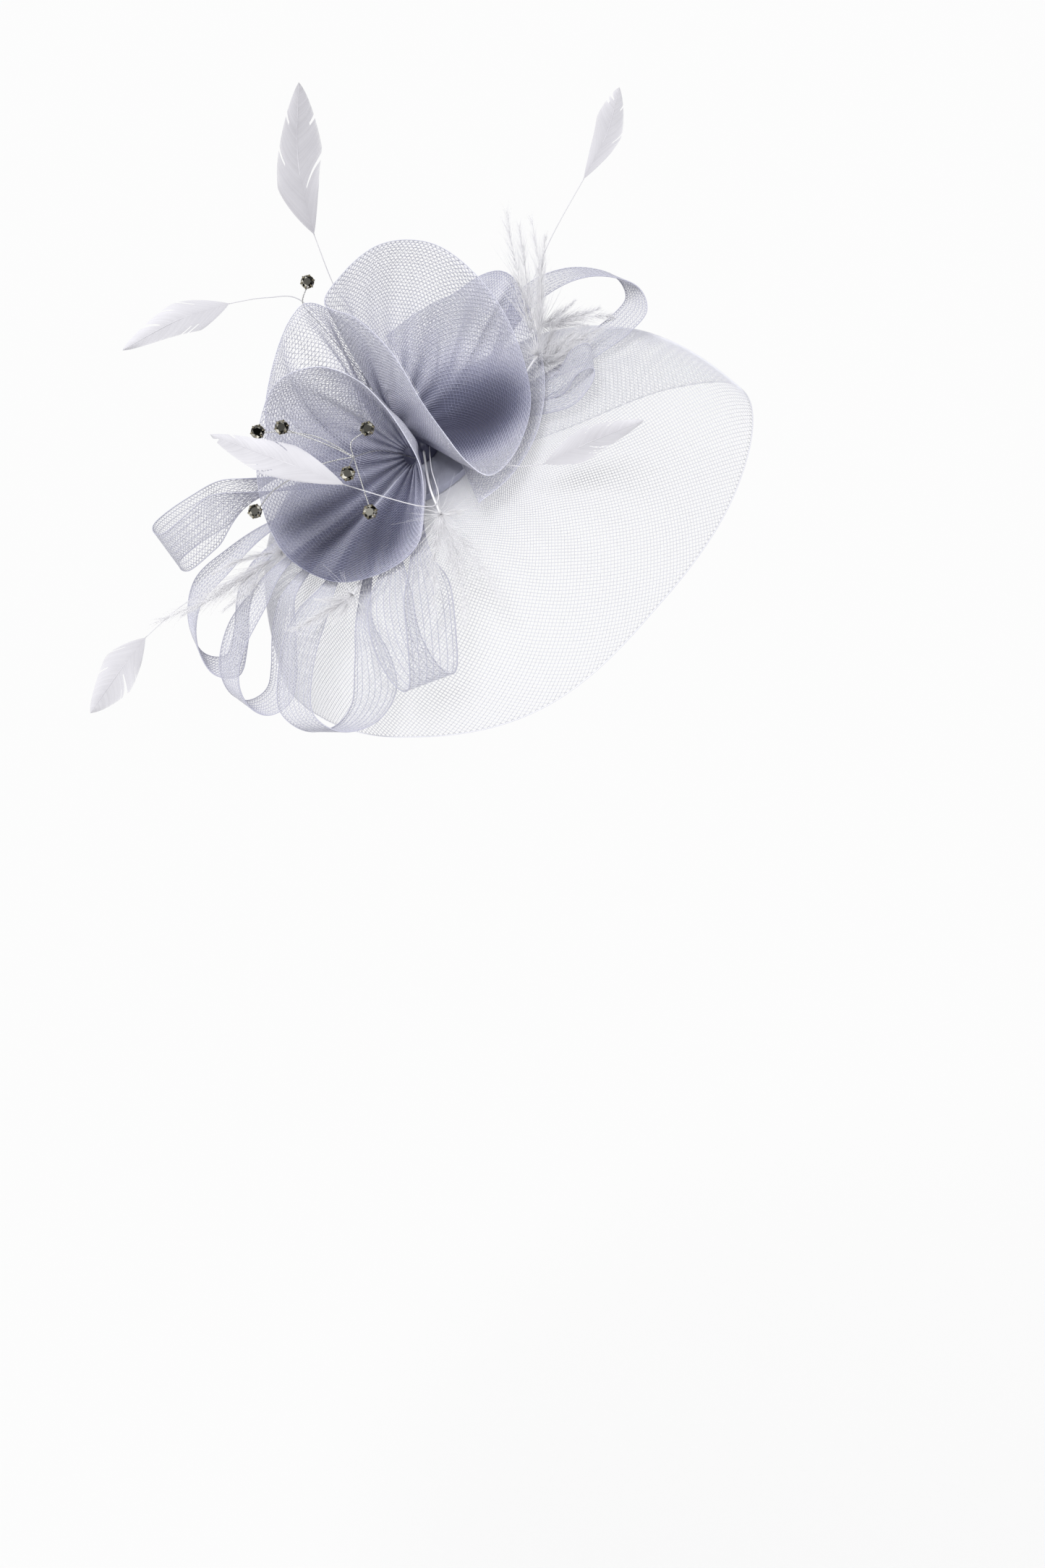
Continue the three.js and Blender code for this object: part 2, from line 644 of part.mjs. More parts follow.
const plumes = [
  {
    name: 'plume_1',
    root: overBase(345, knotRadius * 0.9, feltThickness + knotHeight * 0.8),
    stalk: [[0.34, 0.22, 0.19], [0.57, 0.5, 0.13]],
    tips: [[0.43, 1.22, -0.06], [0.49, 1.15, -0.02], [0.55, 1.18, -0.03], [0.62, 1.09, 0.0], [0.59, 0.9, 0.08]],
  },
  {
    name: 'plume_2',
    root: overBase(347, rootRadius, feltThickness + gap + quillRadius),
    stalk: [[0.5, 0.5, -0.08], [0.6, 0.66, -0.14]],
    tips: [[0.78, 0.79, -0.2], [0.9, 0.75, -0.16], [0.97, 0.7, -0.12], [0.84, 0.66, -0.08]],
  },
  {
    name: 'plume_3',
    root: overBase(341, rootRadius, feltThickness + gap + quillRadius),
    stalk: [[0.43, 0.36, -0.02], [0.6, 0.46, 0.02]],
    tips: [[0.7, 0.72, -0.06], [0.82, 0.68, 0.02], [0.93, 0.64, 0.08], [0.86, 0.6, 0.1], [0.76, 0.56, 0.1]],
  },
  {
    name: 'plume_4',
    root: overBase(170, rootRadius, feltThickness + gap + quillRadius),
    stalk: [[-0.56, -0.36, 0.2], [-0.7, -0.46, 0.22]],
    tips: [[-1.05, -0.56, 0.22], [-1.34, -0.8, 0.16], [-1.2, -0.76, 0.2], [-1.0, -0.74, 0.26], [-1.08, -0.66, 0.24]],
  },
  {
    name: 'plume_5',
    root: overBase(211.5, rootRadius, feltThickness + gap + quillRadius),
    stalk: [[-0.26, -0.5, 0.6], [-0.34, -0.64, 0.76]],
    tips: [[-0.52, -0.66, 0.74], [-0.65, -0.81, 0.72], [-0.56, -0.76, 0.76], [-0.44, -0.78, 0.8]],
  },
  {
    name: 'plume_6',
    root: overBase(255.5, knotRadius + gap + quillRadius, feltThickness + knotHeight * 0.45),
    stalk: [[0.03, -0.13, 0.68], [0.08, -0.26, 0.88]],
    tips: [[0.2, -0.24, 0.86], [0.08, -0.4, 0.98], [0.14, -0.55, 1.06], [0.37, -0.68, 1.1], [0.18, -0.78, 1.13], [0.05, -0.72, 1.17]],
  },
];

for (const { name, root, stalk, tips } of plumes) {
  const stem = scaled(stalk, plumeReach);
  const head = stem[stem.length - 1];
  const knob = new THREE.IcosahedronGeometry(plumeHeadRadius, 0).translate(head.x, head.y, head.z);
  const locks = scaled(tips, plumeReach).map((tip) => {
    const middle = head.clone().lerp(tip, 0.5);
    middle.z += 0.04 * head.distanceTo(tip);
    return rodGeometry([head, middle, tip], barbRadius, barbRadius * 0.35, 3, 4);
  });
  const stalkRod = rodGeometry([root, ...stem], quillRadius, quillRadius, 5, 4);
  addPiece(trim, name, fuse([weld(knob), stalkRod, ...locks]), feather);
}

// Rhinestones on sprays of wire. A branch ends at the back of its stone's setting, and the stone
// looks along its face direction.

const stoneFace = new THREE.Vector3(-0.1, 0.1, 1).normalize();

const sprays = [
  {
    name: 'spray_wires_1',
    root: overBase(232, knotRadius + gap + wireRadius, feltThickness + knotHeight * 0.4),
    trunk: [[-0.2, 0.04, 0.44], [-0.33, 0.01, 0.64]],
    branches: [
      { stone: 'stone_1', route: [[-0.49, 0.1, 0.6], [-0.66, 0.13, 0.47]], end: [-0.79, 0.13, 0.46] },
      { stone: 'stone_2', route: [[-0.46, 0.07, 0.62]], end: [-0.67, 0.15, 0.54] },
      { stone: 'stone_3', route: [[-0.34, 0.08, 0.62]], end: [-0.26, 0.14, 0.64] },
      { stone: 'stone_4', route: [[-0.35, -0.04, 0.75]], end: [-0.35, -0.07, 0.84] },
      { stone: 'stone_5', route: [[-0.29, -0.12, 0.7]], end: [-0.25, -0.25, 0.76] },
      { stone: 'stone_6', route: [[-0.5, -0.03, 0.6], [-0.71, -0.14, 0.5]], end: [-0.81, -0.25, 0.46] },
    ],
  },
  {
    name: 'spray_wires_2',
    root: overBase(112, rootRadius, feltThickness + gap + wireRadius),
    trunk: [[-0.24, 0.3, -0.14], [-0.3, 0.42, -0.12]],
    branches: [
      { stone: 'stone_7', route: [[-0.5, 0.66, -0.08], [-0.59, 0.77, -0.06]], end: [-0.56, 0.87, -0.02] },
      { stone: 'stone_8', route: [[-0.29, 0.47, -0.11]], end: [-0.28, 0.52, -0.08] },
    ],
  },
];

// A cut stone with a table and a ring of facets, in a cup that narrows to the wire
function stoneGeometry(place) {
  const facets = 8;
  const profile = [
    new THREE.Vector2(0, 0),
    new THREE.Vector2(stoneRadius * 0.35, 0),
    new THREE.Vector2(stoneRadius * 0.92, settingDepth * 0.75),
    new THREE.Vector2(stoneRadius, settingDepth),
    new THREE.Vector2(stoneRadius * 0.58, settingDepth + crownHeight),
    new THREE.Vector2(0, settingDepth + crownHeight),
  ];
  const geometry = new THREE.LatheGeometry(profile, facets);
  geometry.rotateX(Math.PI / 2);
  const turn = new THREE.Quaternion().setFromUnitVectors(new THREE.Vector3(0, 0, 1), stoneFace);
  return geometry.applyQuaternion(turn).translate(place.x, place.y, place.z);
}

for (const { name, root, trunk, branches } of sprays) {
  const trunkPoints = [root, ...scaled(trunk, sprayReach)];
  const fork = trunkPoints[trunkPoints.length - 1];
  const rods = [rodGeometry(trunkPoints, wireRadius, wireRadius, 5, 4)];
  for (const { stone, route, end } of branches) {
    const [place] = scaled([end], sprayReach);
    const stop = place.clone().addScaledVector(stoneFace, -gap);
    const approach = place.clone().addScaledVector(stoneFace, -2.5);
    const points = [fork, ...scaled(route, sprayReach), approach, stop];
    rods.push(rodGeometry(points, wireRadius, wireRadius, 3 + 2 * route.length, 4));
    addPiece(trim, stone, stoneGeometry(place), rhinestone);
  }
  addPiece(trim, name, fuse(rods), silverWire);
}

export default fascinator;
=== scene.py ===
from functools import partial
from math import cos, pi, radians, sin

import bpy
import numpy as np
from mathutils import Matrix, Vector


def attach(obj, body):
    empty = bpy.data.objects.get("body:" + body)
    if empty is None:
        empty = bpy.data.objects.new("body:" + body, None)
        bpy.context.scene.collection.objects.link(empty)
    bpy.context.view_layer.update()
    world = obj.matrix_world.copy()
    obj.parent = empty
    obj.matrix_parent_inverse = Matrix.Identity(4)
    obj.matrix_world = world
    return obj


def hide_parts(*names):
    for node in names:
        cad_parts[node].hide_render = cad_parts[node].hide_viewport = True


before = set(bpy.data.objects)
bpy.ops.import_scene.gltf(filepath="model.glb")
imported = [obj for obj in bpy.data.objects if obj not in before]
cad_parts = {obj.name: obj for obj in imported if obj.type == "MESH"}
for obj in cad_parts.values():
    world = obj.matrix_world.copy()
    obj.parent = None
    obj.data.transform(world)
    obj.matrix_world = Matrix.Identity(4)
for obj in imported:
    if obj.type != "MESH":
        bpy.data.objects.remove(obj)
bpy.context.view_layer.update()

# Camera, floor and light
# A long portrait view from the front right, a little above the hat, over a plain white floor.
# A broad soft light comes from the upper left, and the white room fills the rest.

camera_place = (-0.734, -1.049, 0.226)
camera_aim = (0.0234, -0.0516, -0.1624)
camera = bpy.data.objects.new("camera", bpy.data.cameras.new("camera"))
camera.data.sensor_fit = "VERTICAL"
camera.data.sensor_height = 36.0
camera.data.lens = 59.065
camera.data.clip_end = 2000.0
camera.location = camera_place
toward = Vector(camera_aim) - Vector(camera_place)
camera.rotation_euler = toward.to_track_quat("-Z", "Y").to_euler()
bpy.context.scene.collection.objects.link(camera)
bpy.context.scene.camera = camera
bpy.context.scene.view_settings.view_transform = "Standard"

floor_half_width = 500.0
floor_height = -1.3
floor_mesh = bpy.data.meshes.new("floor")
floor_mesh.from_pydata(
    [(x * floor_half_width, y * floor_half_width, floor_height) for x, y in
     ((-1, -1), (1, -1), (1, 1), (-1, 1))],
    [],
    [(0, 1, 2, 3)],
)
floor = bpy.data.objects.new("floor", floor_mesh)
bpy.context.scene.collection.objects.link(floor)
# As lit here the paper is as bright as the white room, so that the two meet with no line
paper = bpy.data.materials.new("white_paper")
paper.use_nodes = True
paper_shader = paper.node_tree.nodes["Principled BSDF"]
paper_shader.inputs["Base Color"].default_value = (0.9, 0.895, 0.885, 1)
paper_shader.inputs["Roughness"].default_value = 0.9
paper_shader.inputs["Specular IOR Level"].default_value = 0.0
floor_mesh.materials.append(paper)

window = bpy.data.objects.new("window", bpy.data.lights.new("window", "SUN"))
window.data.energy = 2.1
window.data.angle = radians(35)
window.rotation_euler = Vector((0.75, 0.45, -1.0)).to_track_quat("-Z", "Y").to_euler()
bpy.context.scene.collection.objects.link(window)

# The room lights the hat a little less brightly than it looks to the eye
room = bpy.data.worlds.new("white_room")
room.use_nodes = True
backdrop = room.node_tree.nodes["Background"]
backdrop.inputs["Color"].default_value = (0.975, 0.977, 0.975, 1)
ambient = room.node_tree.nodes.new("ShaderNodeBackground")
ambient.inputs["Color"].default_value = (0.97, 0.98, 1.0, 1)
ambient.inputs["Strength"].default_value = 0.6
seen = room.node_tree.nodes.new("ShaderNodeLightPath")
either = room.node_tree.nodes.new("ShaderNodeMixShader")
room.node_tree.links.new(seen.outputs["Is Camera Ray"], either.inputs[0])
room.node_tree.links.new(ambient.outputs[0], either.inputs[1])
room.node_tree.links.new(backdrop.outputs[0], either.inputs[2])
room.node_tree.links.new(either.outputs[0], room.node_tree.nodes["World Output"].inputs["Surface"])
bpy.context.scene.world = room


# Felt base and comb
# A flat disc of stiff wool felt that everything is sewn to, with a clear plastic comb sewn under
# it as its fastening. Both keep their built shape and get their finish here.


class Shade:
    """A socket in one material, so that sums on it add Math nodes."""

    def __init__(self, tree, socket=None):
        self.tree = tree
        self.socket = socket

    def node(self, kind, settings=None, sockets=None, output=0):
        """Adds a node: its settings first, then the value or link of each socket."""
        made = self.tree.nodes.new(kind)
        for name, value in (settings or {}).items():
            if name == "stops":
                ramp = made.color_ramp
                ramp.elements[0].position, ramp.elements[0].color = value[0]
                ramp.elements[1].position, ramp.elements[1].color = value[-1]
                for place, colour in value[1:-1]:
                    ramp.elements.new(place).color = colour
            else:
                setattr(made, name, value)
        for name, value in (sockets or {}).items():
            if isinstance(value, Shade):
                self.tree.links.new(value.socket, made.inputs[name])
            else:
                made.inputs[name].default_value = value
        return Shade(self.tree, made.outputs[output])

    def maths(self, operation, first, second):
        """A Math node on two numbers, each a value or a socket."""
        return self.node("ShaderNodeMath", {"operation": operation}, {0: first, 1: second})

    def __add__(self, other):
        return self.maths("ADD", self, other)

    def __sub__(self, other):
        return self.maths("SUBTRACT", self, other)

    def __mul__(self, other):
        return self.maths("MULTIPLY", self, other)

    def __pow__(self, other):
        return self.maths("POWER", self, other)

    def __rsub__(self, other):
        return self.maths("SUBTRACT", other, self)

    __radd__ = __add__
    __rmul__ = __mul__

    def mix(self, low, high):
        """A colour from low to high as this value goes from 0 to 1.

        A Mix node has its colours in sockets 6 and 7, and its mixed colour in output 2.
        """
        return self.node(
            "ShaderNodeMix",
            {"data_type": "RGBA", "clamp_factor": True},
            {0: self, 6: low, 7: high},
            output=2,
        )

    def ramp(self, stops):
        """A colour that this value picks from stops of place and colour."""
        return self.node("ShaderNodeValToRGB", {"stops": stops}, {0: self})

    def noise(self, scale, detail, roughness=0.5):
        """Cloudy noise on Object coordinates."""
        vector = self.node("ShaderNodeTexCoord", output="Object")
        sockets = {"Vector": vector, "Scale": scale, "Detail": detail, "Roughness": roughness}
        return self.node("ShaderNodeTexNoise", None, sockets)

    def attribute(self, name):
        """A number stored on the mesh's points."""
        return self.node("ShaderNodeAttribute", {"attribute_name": name}, output="Fac")

    def bump(self, height, strength, distance):
        """A relief of the height given, for a Normal socket."""
        sockets = {"Height": height, "Strength": strength, "Distance": distance}
        return self.node("ShaderNodeBump", None, sockets)


def finish(name, paint):
    """A material whose Principled sockets are what paint(shade) returns."""
    material = bpy.data.materials.new(name)
    material.use_nodes = True
    shade = Shade(material.node_tree)
    principled = material.node_tree.nodes["Principled BSDF"]
    for socket, value in paint(shade).items():
        if isinstance(value, Shade):
            material.node_tree.links.new(value.socket, principled.inputs[socket])
        else:
            principled.inputs[socket].default_value = value
    return material


def wool_felt(shade):
    """Grey-lilac wool with cloudy clumps and a fine lint in relief."""
    lint = shade.noise(900, 6, 0.7)
    clumps = shade.noise(120, 3)
    return {
        "Base Color": clumps.mix((0.44, 0.45, 0.56, 1), (0.60, 0.61, 0.71, 1)),
        "Roughness": 0.95,
        "Normal": shade.bump(lint, 0.5, 0.0006),
    }


def comb_plastic(shade):
    """Clear moulded plastic, a little cloudy and worn dull in places."""
    haze = shade.noise(60, 2)
    return {
        "Base Color": haze.mix((0.74, 0.75, 0.80, 1), (0.86, 0.87, 0.90, 1)),
        "Roughness": haze * 0.15 + 0.15,
        "Normal": shade.bump(shade.noise(300, 2), 0.1, 0.0003),
    }


for node, paint in (("felt_base", wool_felt), ("hair_comb", comb_plastic)):
    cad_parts[node].material_slots[0].material = finish(node + "_finish", paint)


# Brim
# One wide sheet of open crin net, stretched wet over a block into a tilted dome and sewn flat
# under the felt. Its filaments cross on the bias, and a cord is woven into its outer edge.

base_tilt = radians(-35)
base_axes = np.array([
    [cos(base_tilt), 0, sin(base_tilt)],
    [0, 1, 0],
    [-sin(base_tilt), 0, cos(base_tilt)],
])
clearance = 0.0003
felt_radius = 0.040
felt_thickness = 0.003
brim_inner_radius = 0.030
brim_reach = 0.145
brim_drop = 0.062
brim_wall = 0.0011
gather_count = 30
second_gather_count = 34
wave_phase = 1.0
gather_depth = 0.0005

# reach, drop, turn, crown: a row for each twelfth of the way round, from the +X side
brim_rows = [
    (1.02, 1.25, 6, 0.0),
    (0.93, 1.45, 4, 0.0),
    (0.91, 1.4, 3, 0.0),
    (0.88, 1.2, 3, 0.06),
    (0.84, 1.05, 4, 0.1),
    (0.84, 1.03, 4.5, 0.1),
    (0.86, 0.97, 4, 0.07),
    (0.95, 0.97, 3, 0.03),
    (1.05, 1.02, 2.6, 0.0),
    (1.01, 0.97, 2.6, 0.0),
    (1.02, 0.97, 3.5, 0.0),
    (1.08, 0.97, 6, 0.0),
]


def smooth(rows, share, closed=False):
    """Catmull-Rom through a table's rows, at shares from 0 to 1 of the way down it.

    Between rows b and c, with a before and d after, the slope at b is (c - a) / 2 and at c it
    is (d - b) / 2, and the cubic that has both is taken at t, the share between the two.
    """
    rows = np.asarray(rows, float)
    spans = len(rows) if closed else len(rows) - 1
    place = np.asarray(share, float) * spans
    first = np.floor(place).astype(int)
    if not closed:
        first = np.clip(first, 0, spans - 1)
    t = (place - first)[..., None]

    def row(i):
        return rows[i % len(rows)] if closed else rows[np.clip(i, 0, len(rows) - 1)]

    a, b, c, d = (row(first + step) for step in (-1, 0, 1, 2))
    pull, push = (c - a) / 2, (d - b) / 2
    return b + t * (pull + t * (3 * (c - b) - 2 * pull - push + t * (2 * (b - c) + pull + push)))


def unit(vectors):
    """Vectors in the same directions, each of length one."""
    return vectors / np.maximum(np.linalg.norm(vectors, axis=-1, keepdims=True), 1e-12)


def round_base(clock, radius, height):
    """Points over the tilted base, by angle round it, distance from its middle and height."""
    flat = np.stack([radius * np.cos(clock), radius * np.sin(clock), height], -1)
    return flat @ base_axes.T


def path_length(path):
    """The length of a path, the sum of the steps between its points."""
    return np.linalg.norm(np.diff(path, axis=0), axis=-1).sum()


def brim_surface(u, v):
    """Round at u, out at v. The sheet is flat as far as the felt reaches.

    Past it the height falls by the drop times the way out to the power of the turn, and rises by
    the crown times the squared sine of half a turn. Two sets of sine waves round, of nearly the
    same count, beat into soft gathers, which grow past the felt and fade to nothing at the edge.
    """
    reach, drop, turn, crown = np.moveaxis(smooth(brim_rows, u, True), -1, 0)
    reach, drop, crown = reach * brim_reach, drop * brim_drop, crown * brim_drop
    radius = brim_inner_radius + (reach - brim_inner_radius) * (1 - (1 - v) ** 1.3)
    past = np.maximum(0, (radius - felt_radius) / (reach - felt_radius))
    height = crown * np.sin(pi * past) ** 2 - drop * past ** turn - clearance - brim_wall / 2
    clock = 2 * pi * u
    waves = np.sin(gather_count * clock) + 0.6 * np.sin(wave_phase + second_gather_count * clock)
    height = height - gather_depth * (1 + waves / 1.6) * past * (1 - past) ** 1.5 * 4
    return round_base(clock, radius, height)


def on_sheet(surface, u, v):
    """Points of a surface and its unit normals, from differences a thousandth of a share wide."""
    nudge = 1e-3
    u, v = np.broadcast_arrays(u, v)
    v_next, v_back = np.minimum(v + nudge, 1), np.maximum(v - nudge, 0)
    along_u = surface(u + nudge, v) - surface(u - nudge, v)
    along_v = surface(u, v_next) - surface(u, v_back)
    return surface(u, v), unit(np.cross(along_u, along_v))


def piece(name, points, faces, material, replaces, attributes=None, facets=None):
    """A mesh piece from points and arrays of faces, on the one body, with its finish.

    attributes are numbers on its points. facets are numbers on its faces, which then stay flat.
    """
    mesh = bpy.data.meshes.new(name)
    corners = np.concatenate([part.ravel() for part in faces]).astype(np.int32)
    sides = np.concatenate([np.full(len(part), part.shape[1]) for part in faces])
    mesh.vertices.add(len(points))
    mesh.vertices.foreach_set("co", np.ascontiguousarray(points, np.float32).ravel())
    mesh.loops.add(len(corners))
    mesh.polygons.add(len(sides))
    mesh.polygons.foreach_set("loop_start", (np.cumsum(sides) - sides).astype(np.int32))
    mesh.polygons.foreach_set("vertices", corners)
    for key, values in (attributes or {}).items():
        layer = mesh.attributes.new(key, "FLOAT", "POINT")
        layer.data.foreach_set("value", np.ascontiguousarray(values, np.float32).ravel())
    mesh.update(calc_edges=True)
    if facets is None:
        mesh.shade_smooth()
    else:
        mesh.shade_flat()
        mesh.attributes.new("facet", "FLOAT", "FACE").data.foreach_set("value", facets)
    mesh.materials.append(material)
    made = bpy.data.objects.new(name, mesh)
    bpy.context.scene.collection.objects.link(made)
    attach(made, "root")
    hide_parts(*replaces)
    return made


def grid_faces(rows, columns, closed):
    """Quads of a grid of rows by columns, whose columns may close round."""
    across = np.arange(columns if closed else columns - 1)
    i, j = np.meshgrid(across, np.arange(rows - 1))
    next_i = (i + 1) % columns
    quads = [j * columns + i, j * columns + next_i, (j + 1) * columns + next_i, (j + 1) * columns + i]
    return np.stack([q.ravel() for q in quads], -1)


def sheet_grid(surface, steps_u, steps_v, closed):
    """A surface as a grid of points with faces, the share across at each point, and its area."""
    u = np.arange(steps_u if closed else steps_u + 1) / steps_u
    v = np.arange(steps_v + 1) / steps_v
    u, v = np.meshgrid(u, v)
    points = surface(u, v)
    faces = grid_faces(points.shape[0], points.shape[1], closed)
    points = points.reshape(-1, 3)
    a, b, c, d = (points[faces[:, k]] for k in range(4))
    area = np.linalg.norm(np.cross(c - a, d - b), axis=1).sum() / 2
    return points, faces, u.ravel(), v.ravel(), area


def threads(paths, normals, radius, sides=3):
    """Closed thin rods along paths, an array of rods by stations by 3.

    Each station has a ring of corners in the plane of the surface normal and of the side, which
    is the path's direction times the normal. radius is a number or one for each station.
    """
    count, stations = paths.shape[:2]
    tangent = unit(np.gradient(paths, axis=1))
    side = unit(np.cross(tangent, normals))
    up = np.cross(side, tangent)
    turn = 2 * pi * np.arange(sides) / sides
    radius = np.broadcast_to(radius, (count, stations))[..., None, None]
    ring = side[:, :, None] * np.cos(turn)[:, None] + up[:, :, None] * np.sin(turn)[:, None]
    points = paths[:, :, None] + ring * radius
    rod = (np.arange(count) * stations * sides)[:, None, None]
    station = (np.arange(stations - 1) * sides)[None, :, None]
    corner = np.arange(sides)[None, None, :]
    following = (corner + 1) % sides
    near = rod + station
    far = near + sides
    quads = np.stack([near + corner, far + corner, far + following, near + following], -1)
    last = rod[:, 0, 0] + (stations - 1) * sides
    first_cap = rod[:, 0, 0][:, None] + np.arange(sides)[None, :]
    last_cap = last[:, None] + np.arange(sides)[::-1][None, :]
    return points.reshape(-1, 3), [quads.reshape(-1, 4), first_cap, last_cap]


def joined(bundles):
    """Several (points, face arrays) as one, with the later faces counted on."""
    points, faces, offset = [], [], 0
    for more, parts in bundles:
        points.append(more)
        faces.extend(part + offset for part in parts)
        offset += len(more)
    return np.concatenate(points), faces


def net_filament(shade):
    """Clear nylon filament, cold white with greyer stretches."""
    tone = shade.noise(14, 2)
    return {
        "Base Color": tone.mix((0.72, 0.72, 0.78, 1), (0.86, 0.86, 0.90, 1)),
        "Roughness": 0.3,
    }


def net_haze(shade):
    """The faint bloom that fine fibres give the open net between its filaments."""
    tone = shade.noise(20, 2)
    return {
        "Base Color": tone.mix((0.62, 0.63, 0.72, 1), (0.74, 0.75, 0.82, 1)),
        "Roughness": 0.8,
        "Alpha": tone * 0.04 + 0.01,
    }


net_pitch = 0.0020
net_radius = 0.00018
brim_grid = (192, 36)
net_material = finish("net_filament", net_filament)
points, faces, _, _, area = sheet_grid(brim_surface, *brim_grid, True)
brim = piece("brim_ground", points, [faces], finish("net_haze", net_haze), ["crin_brim"])

# The twist of a filament adds up step / radius on the way out, so that it crosses at 45 degrees
spoke_count = 36
stations_out = 44
stations = np.linspace(0, 1, stations_out)
spokes = brim_surface(np.arange(spoke_count) / spoke_count, stations[:, None])
step = np.linalg.norm(np.diff(spokes, axis=0), axis=-1).mean(1)
from_middle = np.linalg.norm(spokes - spokes.mean(1)[:, None], axis=-1).mean(1)
twist = np.concatenate([[0], np.cumsum(step / (from_middle[1:] + from_middle[:-1]) * 2)]) / (2 * pi)
filaments = int(2 * pi * from_middle[-1] / (net_pitch * 2 ** 0.5))
for name, way in (("brim_filaments_left", 1), ("brim_filaments_right", -1)):
    start = np.arange(filaments)[:, None] / filaments
    path, normal = on_sheet(brim_surface, start + way * twist[None, :], stations[None, :])
    points, faces = threads(path + way * net_radius * 0.5 * normal, normal, net_radius)
    piece(name, points, faces, net_material, ["crin_brim"])

edge_radius = 0.00028
edge_sides = 6
edge_stations = 361
around = np.linspace(0, 1, edge_stations)[None, :]
path, normal = on_sheet(brim_surface, around, np.ones_like(around))
points, faces = threads(path, normal, edge_radius, edge_sides)
edge = piece("brim_edge_cord", points, faces, net_material, ["crin_brim"])
float(path_length(path[0]))


# Petals
# Wide tubular crin braid, flattened to two layers. Each length is gathered on a thread along one
# edge to a small throat, sewn to the middle of the base, and the other edge opens as a rim.

trim_turn = radians(-35)
trim_rise = radians(80)
turn_axes = np.array([
    [cos(trim_turn), -sin(trim_turn), 0],
    [sin(trim_turn), cos(trim_turn), 0],
    [0, 0, 1],
])
rise_axes = np.array([
    [1, 0, 0],
    [0, cos(trim_rise), -sin(trim_rise)],
    [0, sin(trim_rise), cos(trim_rise)],
])
trim_axes = turn_axes @ rise_axes
petal_reach = 0.100
throat_radius = 0.0045
petal_wall = 0.0012
knot_radius = 0.012
knot_height = 0.015
pleats = 7
fine_pleats = 18
pleat_depth = 0.0012

# across, up, out, belly: shares of the petal's reach, a row for each stretch of the rim
right_rim = [
    (-0.47, 0.75, 0.26, 0.02),
    (-0.38, 0.91, 0.1, 0.06),
    (-0.23, 1.04, 0.0, 0.1),
    (-0.06, 1.08, -0.06, 0.12),
    (0.11, 1.04, -0.08, 0.14),
    (0.28, 0.9, -0.04, 0.16),
    (0.41, 0.71, 0.08, 0.12),
    (0.5, 0.46, 0.28, 0.07),
    (0.52, 0.24, 0.47, 0.05),
    (0.44, 0.03, 0.68, 0.04),
    (0.32, -0.08, 0.8, 0.02),
    (0.21, -0.02, 0.77, 0.01),
    (0.1, 0.12, 0.69, 0.02),
    (-0.01, 0.28, 0.58, 0.02),
    (-0.14, 0.5, 0.48, 0.02),
    (-0.31, 0.67, 0.37, 0.02),
]
left_rim = [
    (-0.2, 0.48, -0.02, 0.0),
    (-0.34, 0.64, 0.02, 0.0),
    (-0.47, 0.74, 0.06, 0.01),
    (-0.57, 0.76, 0.11, 0.03),
    (-0.64, 0.69, 0.13, 0.06),
    (-0.7, 0.57, 0.1, 0.08),
    (-0.75, 0.41, 0.08, 0.08),
    (-0.78, 0.24, 0.07, 0.08),
    (-0.77, 0.06, 0.07, 0.06),
]
front_rim = [
    (-0.78, 0.22, 0.32, 0.06),
    (-0.69, 0.38, 0.38, 0.06),
    (-0.5, 0.44, 0.46, 0.06),
    (-0.32, 0.38, 0.53, 0.05),
    (-0.19, 0.26, 0.6, 0.04),
    (-0.08, 0.1, 0.68, 0.03),
    (-0.01, -0.05, 0.74, 0.02),
    (0.0, -0.23, 0.78, 0.02),
    (-0.03, -0.4, 0.82, 0.02),
    (-0.17, -0.52, 0.81, 0.02),
    (-0.38, -0.58, 0.72, 0.03),
    (-0.55, -0.54, 0.57, 0.05),
    (-0.69, -0.43, 0.47, 0.06),
    (-0.78, -0.24, 0.38, 0.06),
    (-0.81, -0.02, 0.33, 0.06),
]
back_rim = [
    (-0.18, 0.62, -0.34, 0.0),
    (-0.02, 0.74, -0.35, 0.0),
    (0.16, 0.83, -0.35, 0.02),
    (0.3, 0.92, -0.33, 0.03),
    (0.41, 0.94, -0.28, 0.03),
    (0.49, 0.87, -0.22, 0.03),
    (0.56, 0.68, -0.1, 0.02),
    (0.6, 0.46, 0.1, 0.02),
    (0.59, 0.26, 0.32, 0.01),
    (0.53, 0.08, 0.53, 0.0),
    (0.41, -0.09, 0.7, 0.0),
    (0.26, -0.21, 0.74, 0.0),
]


def over_base(clock_degrees, radius, height):
    """A spot above the base, by clock angle, distance from its middle and height."""
    return round_base(radians(clock_degrees), radius, height)


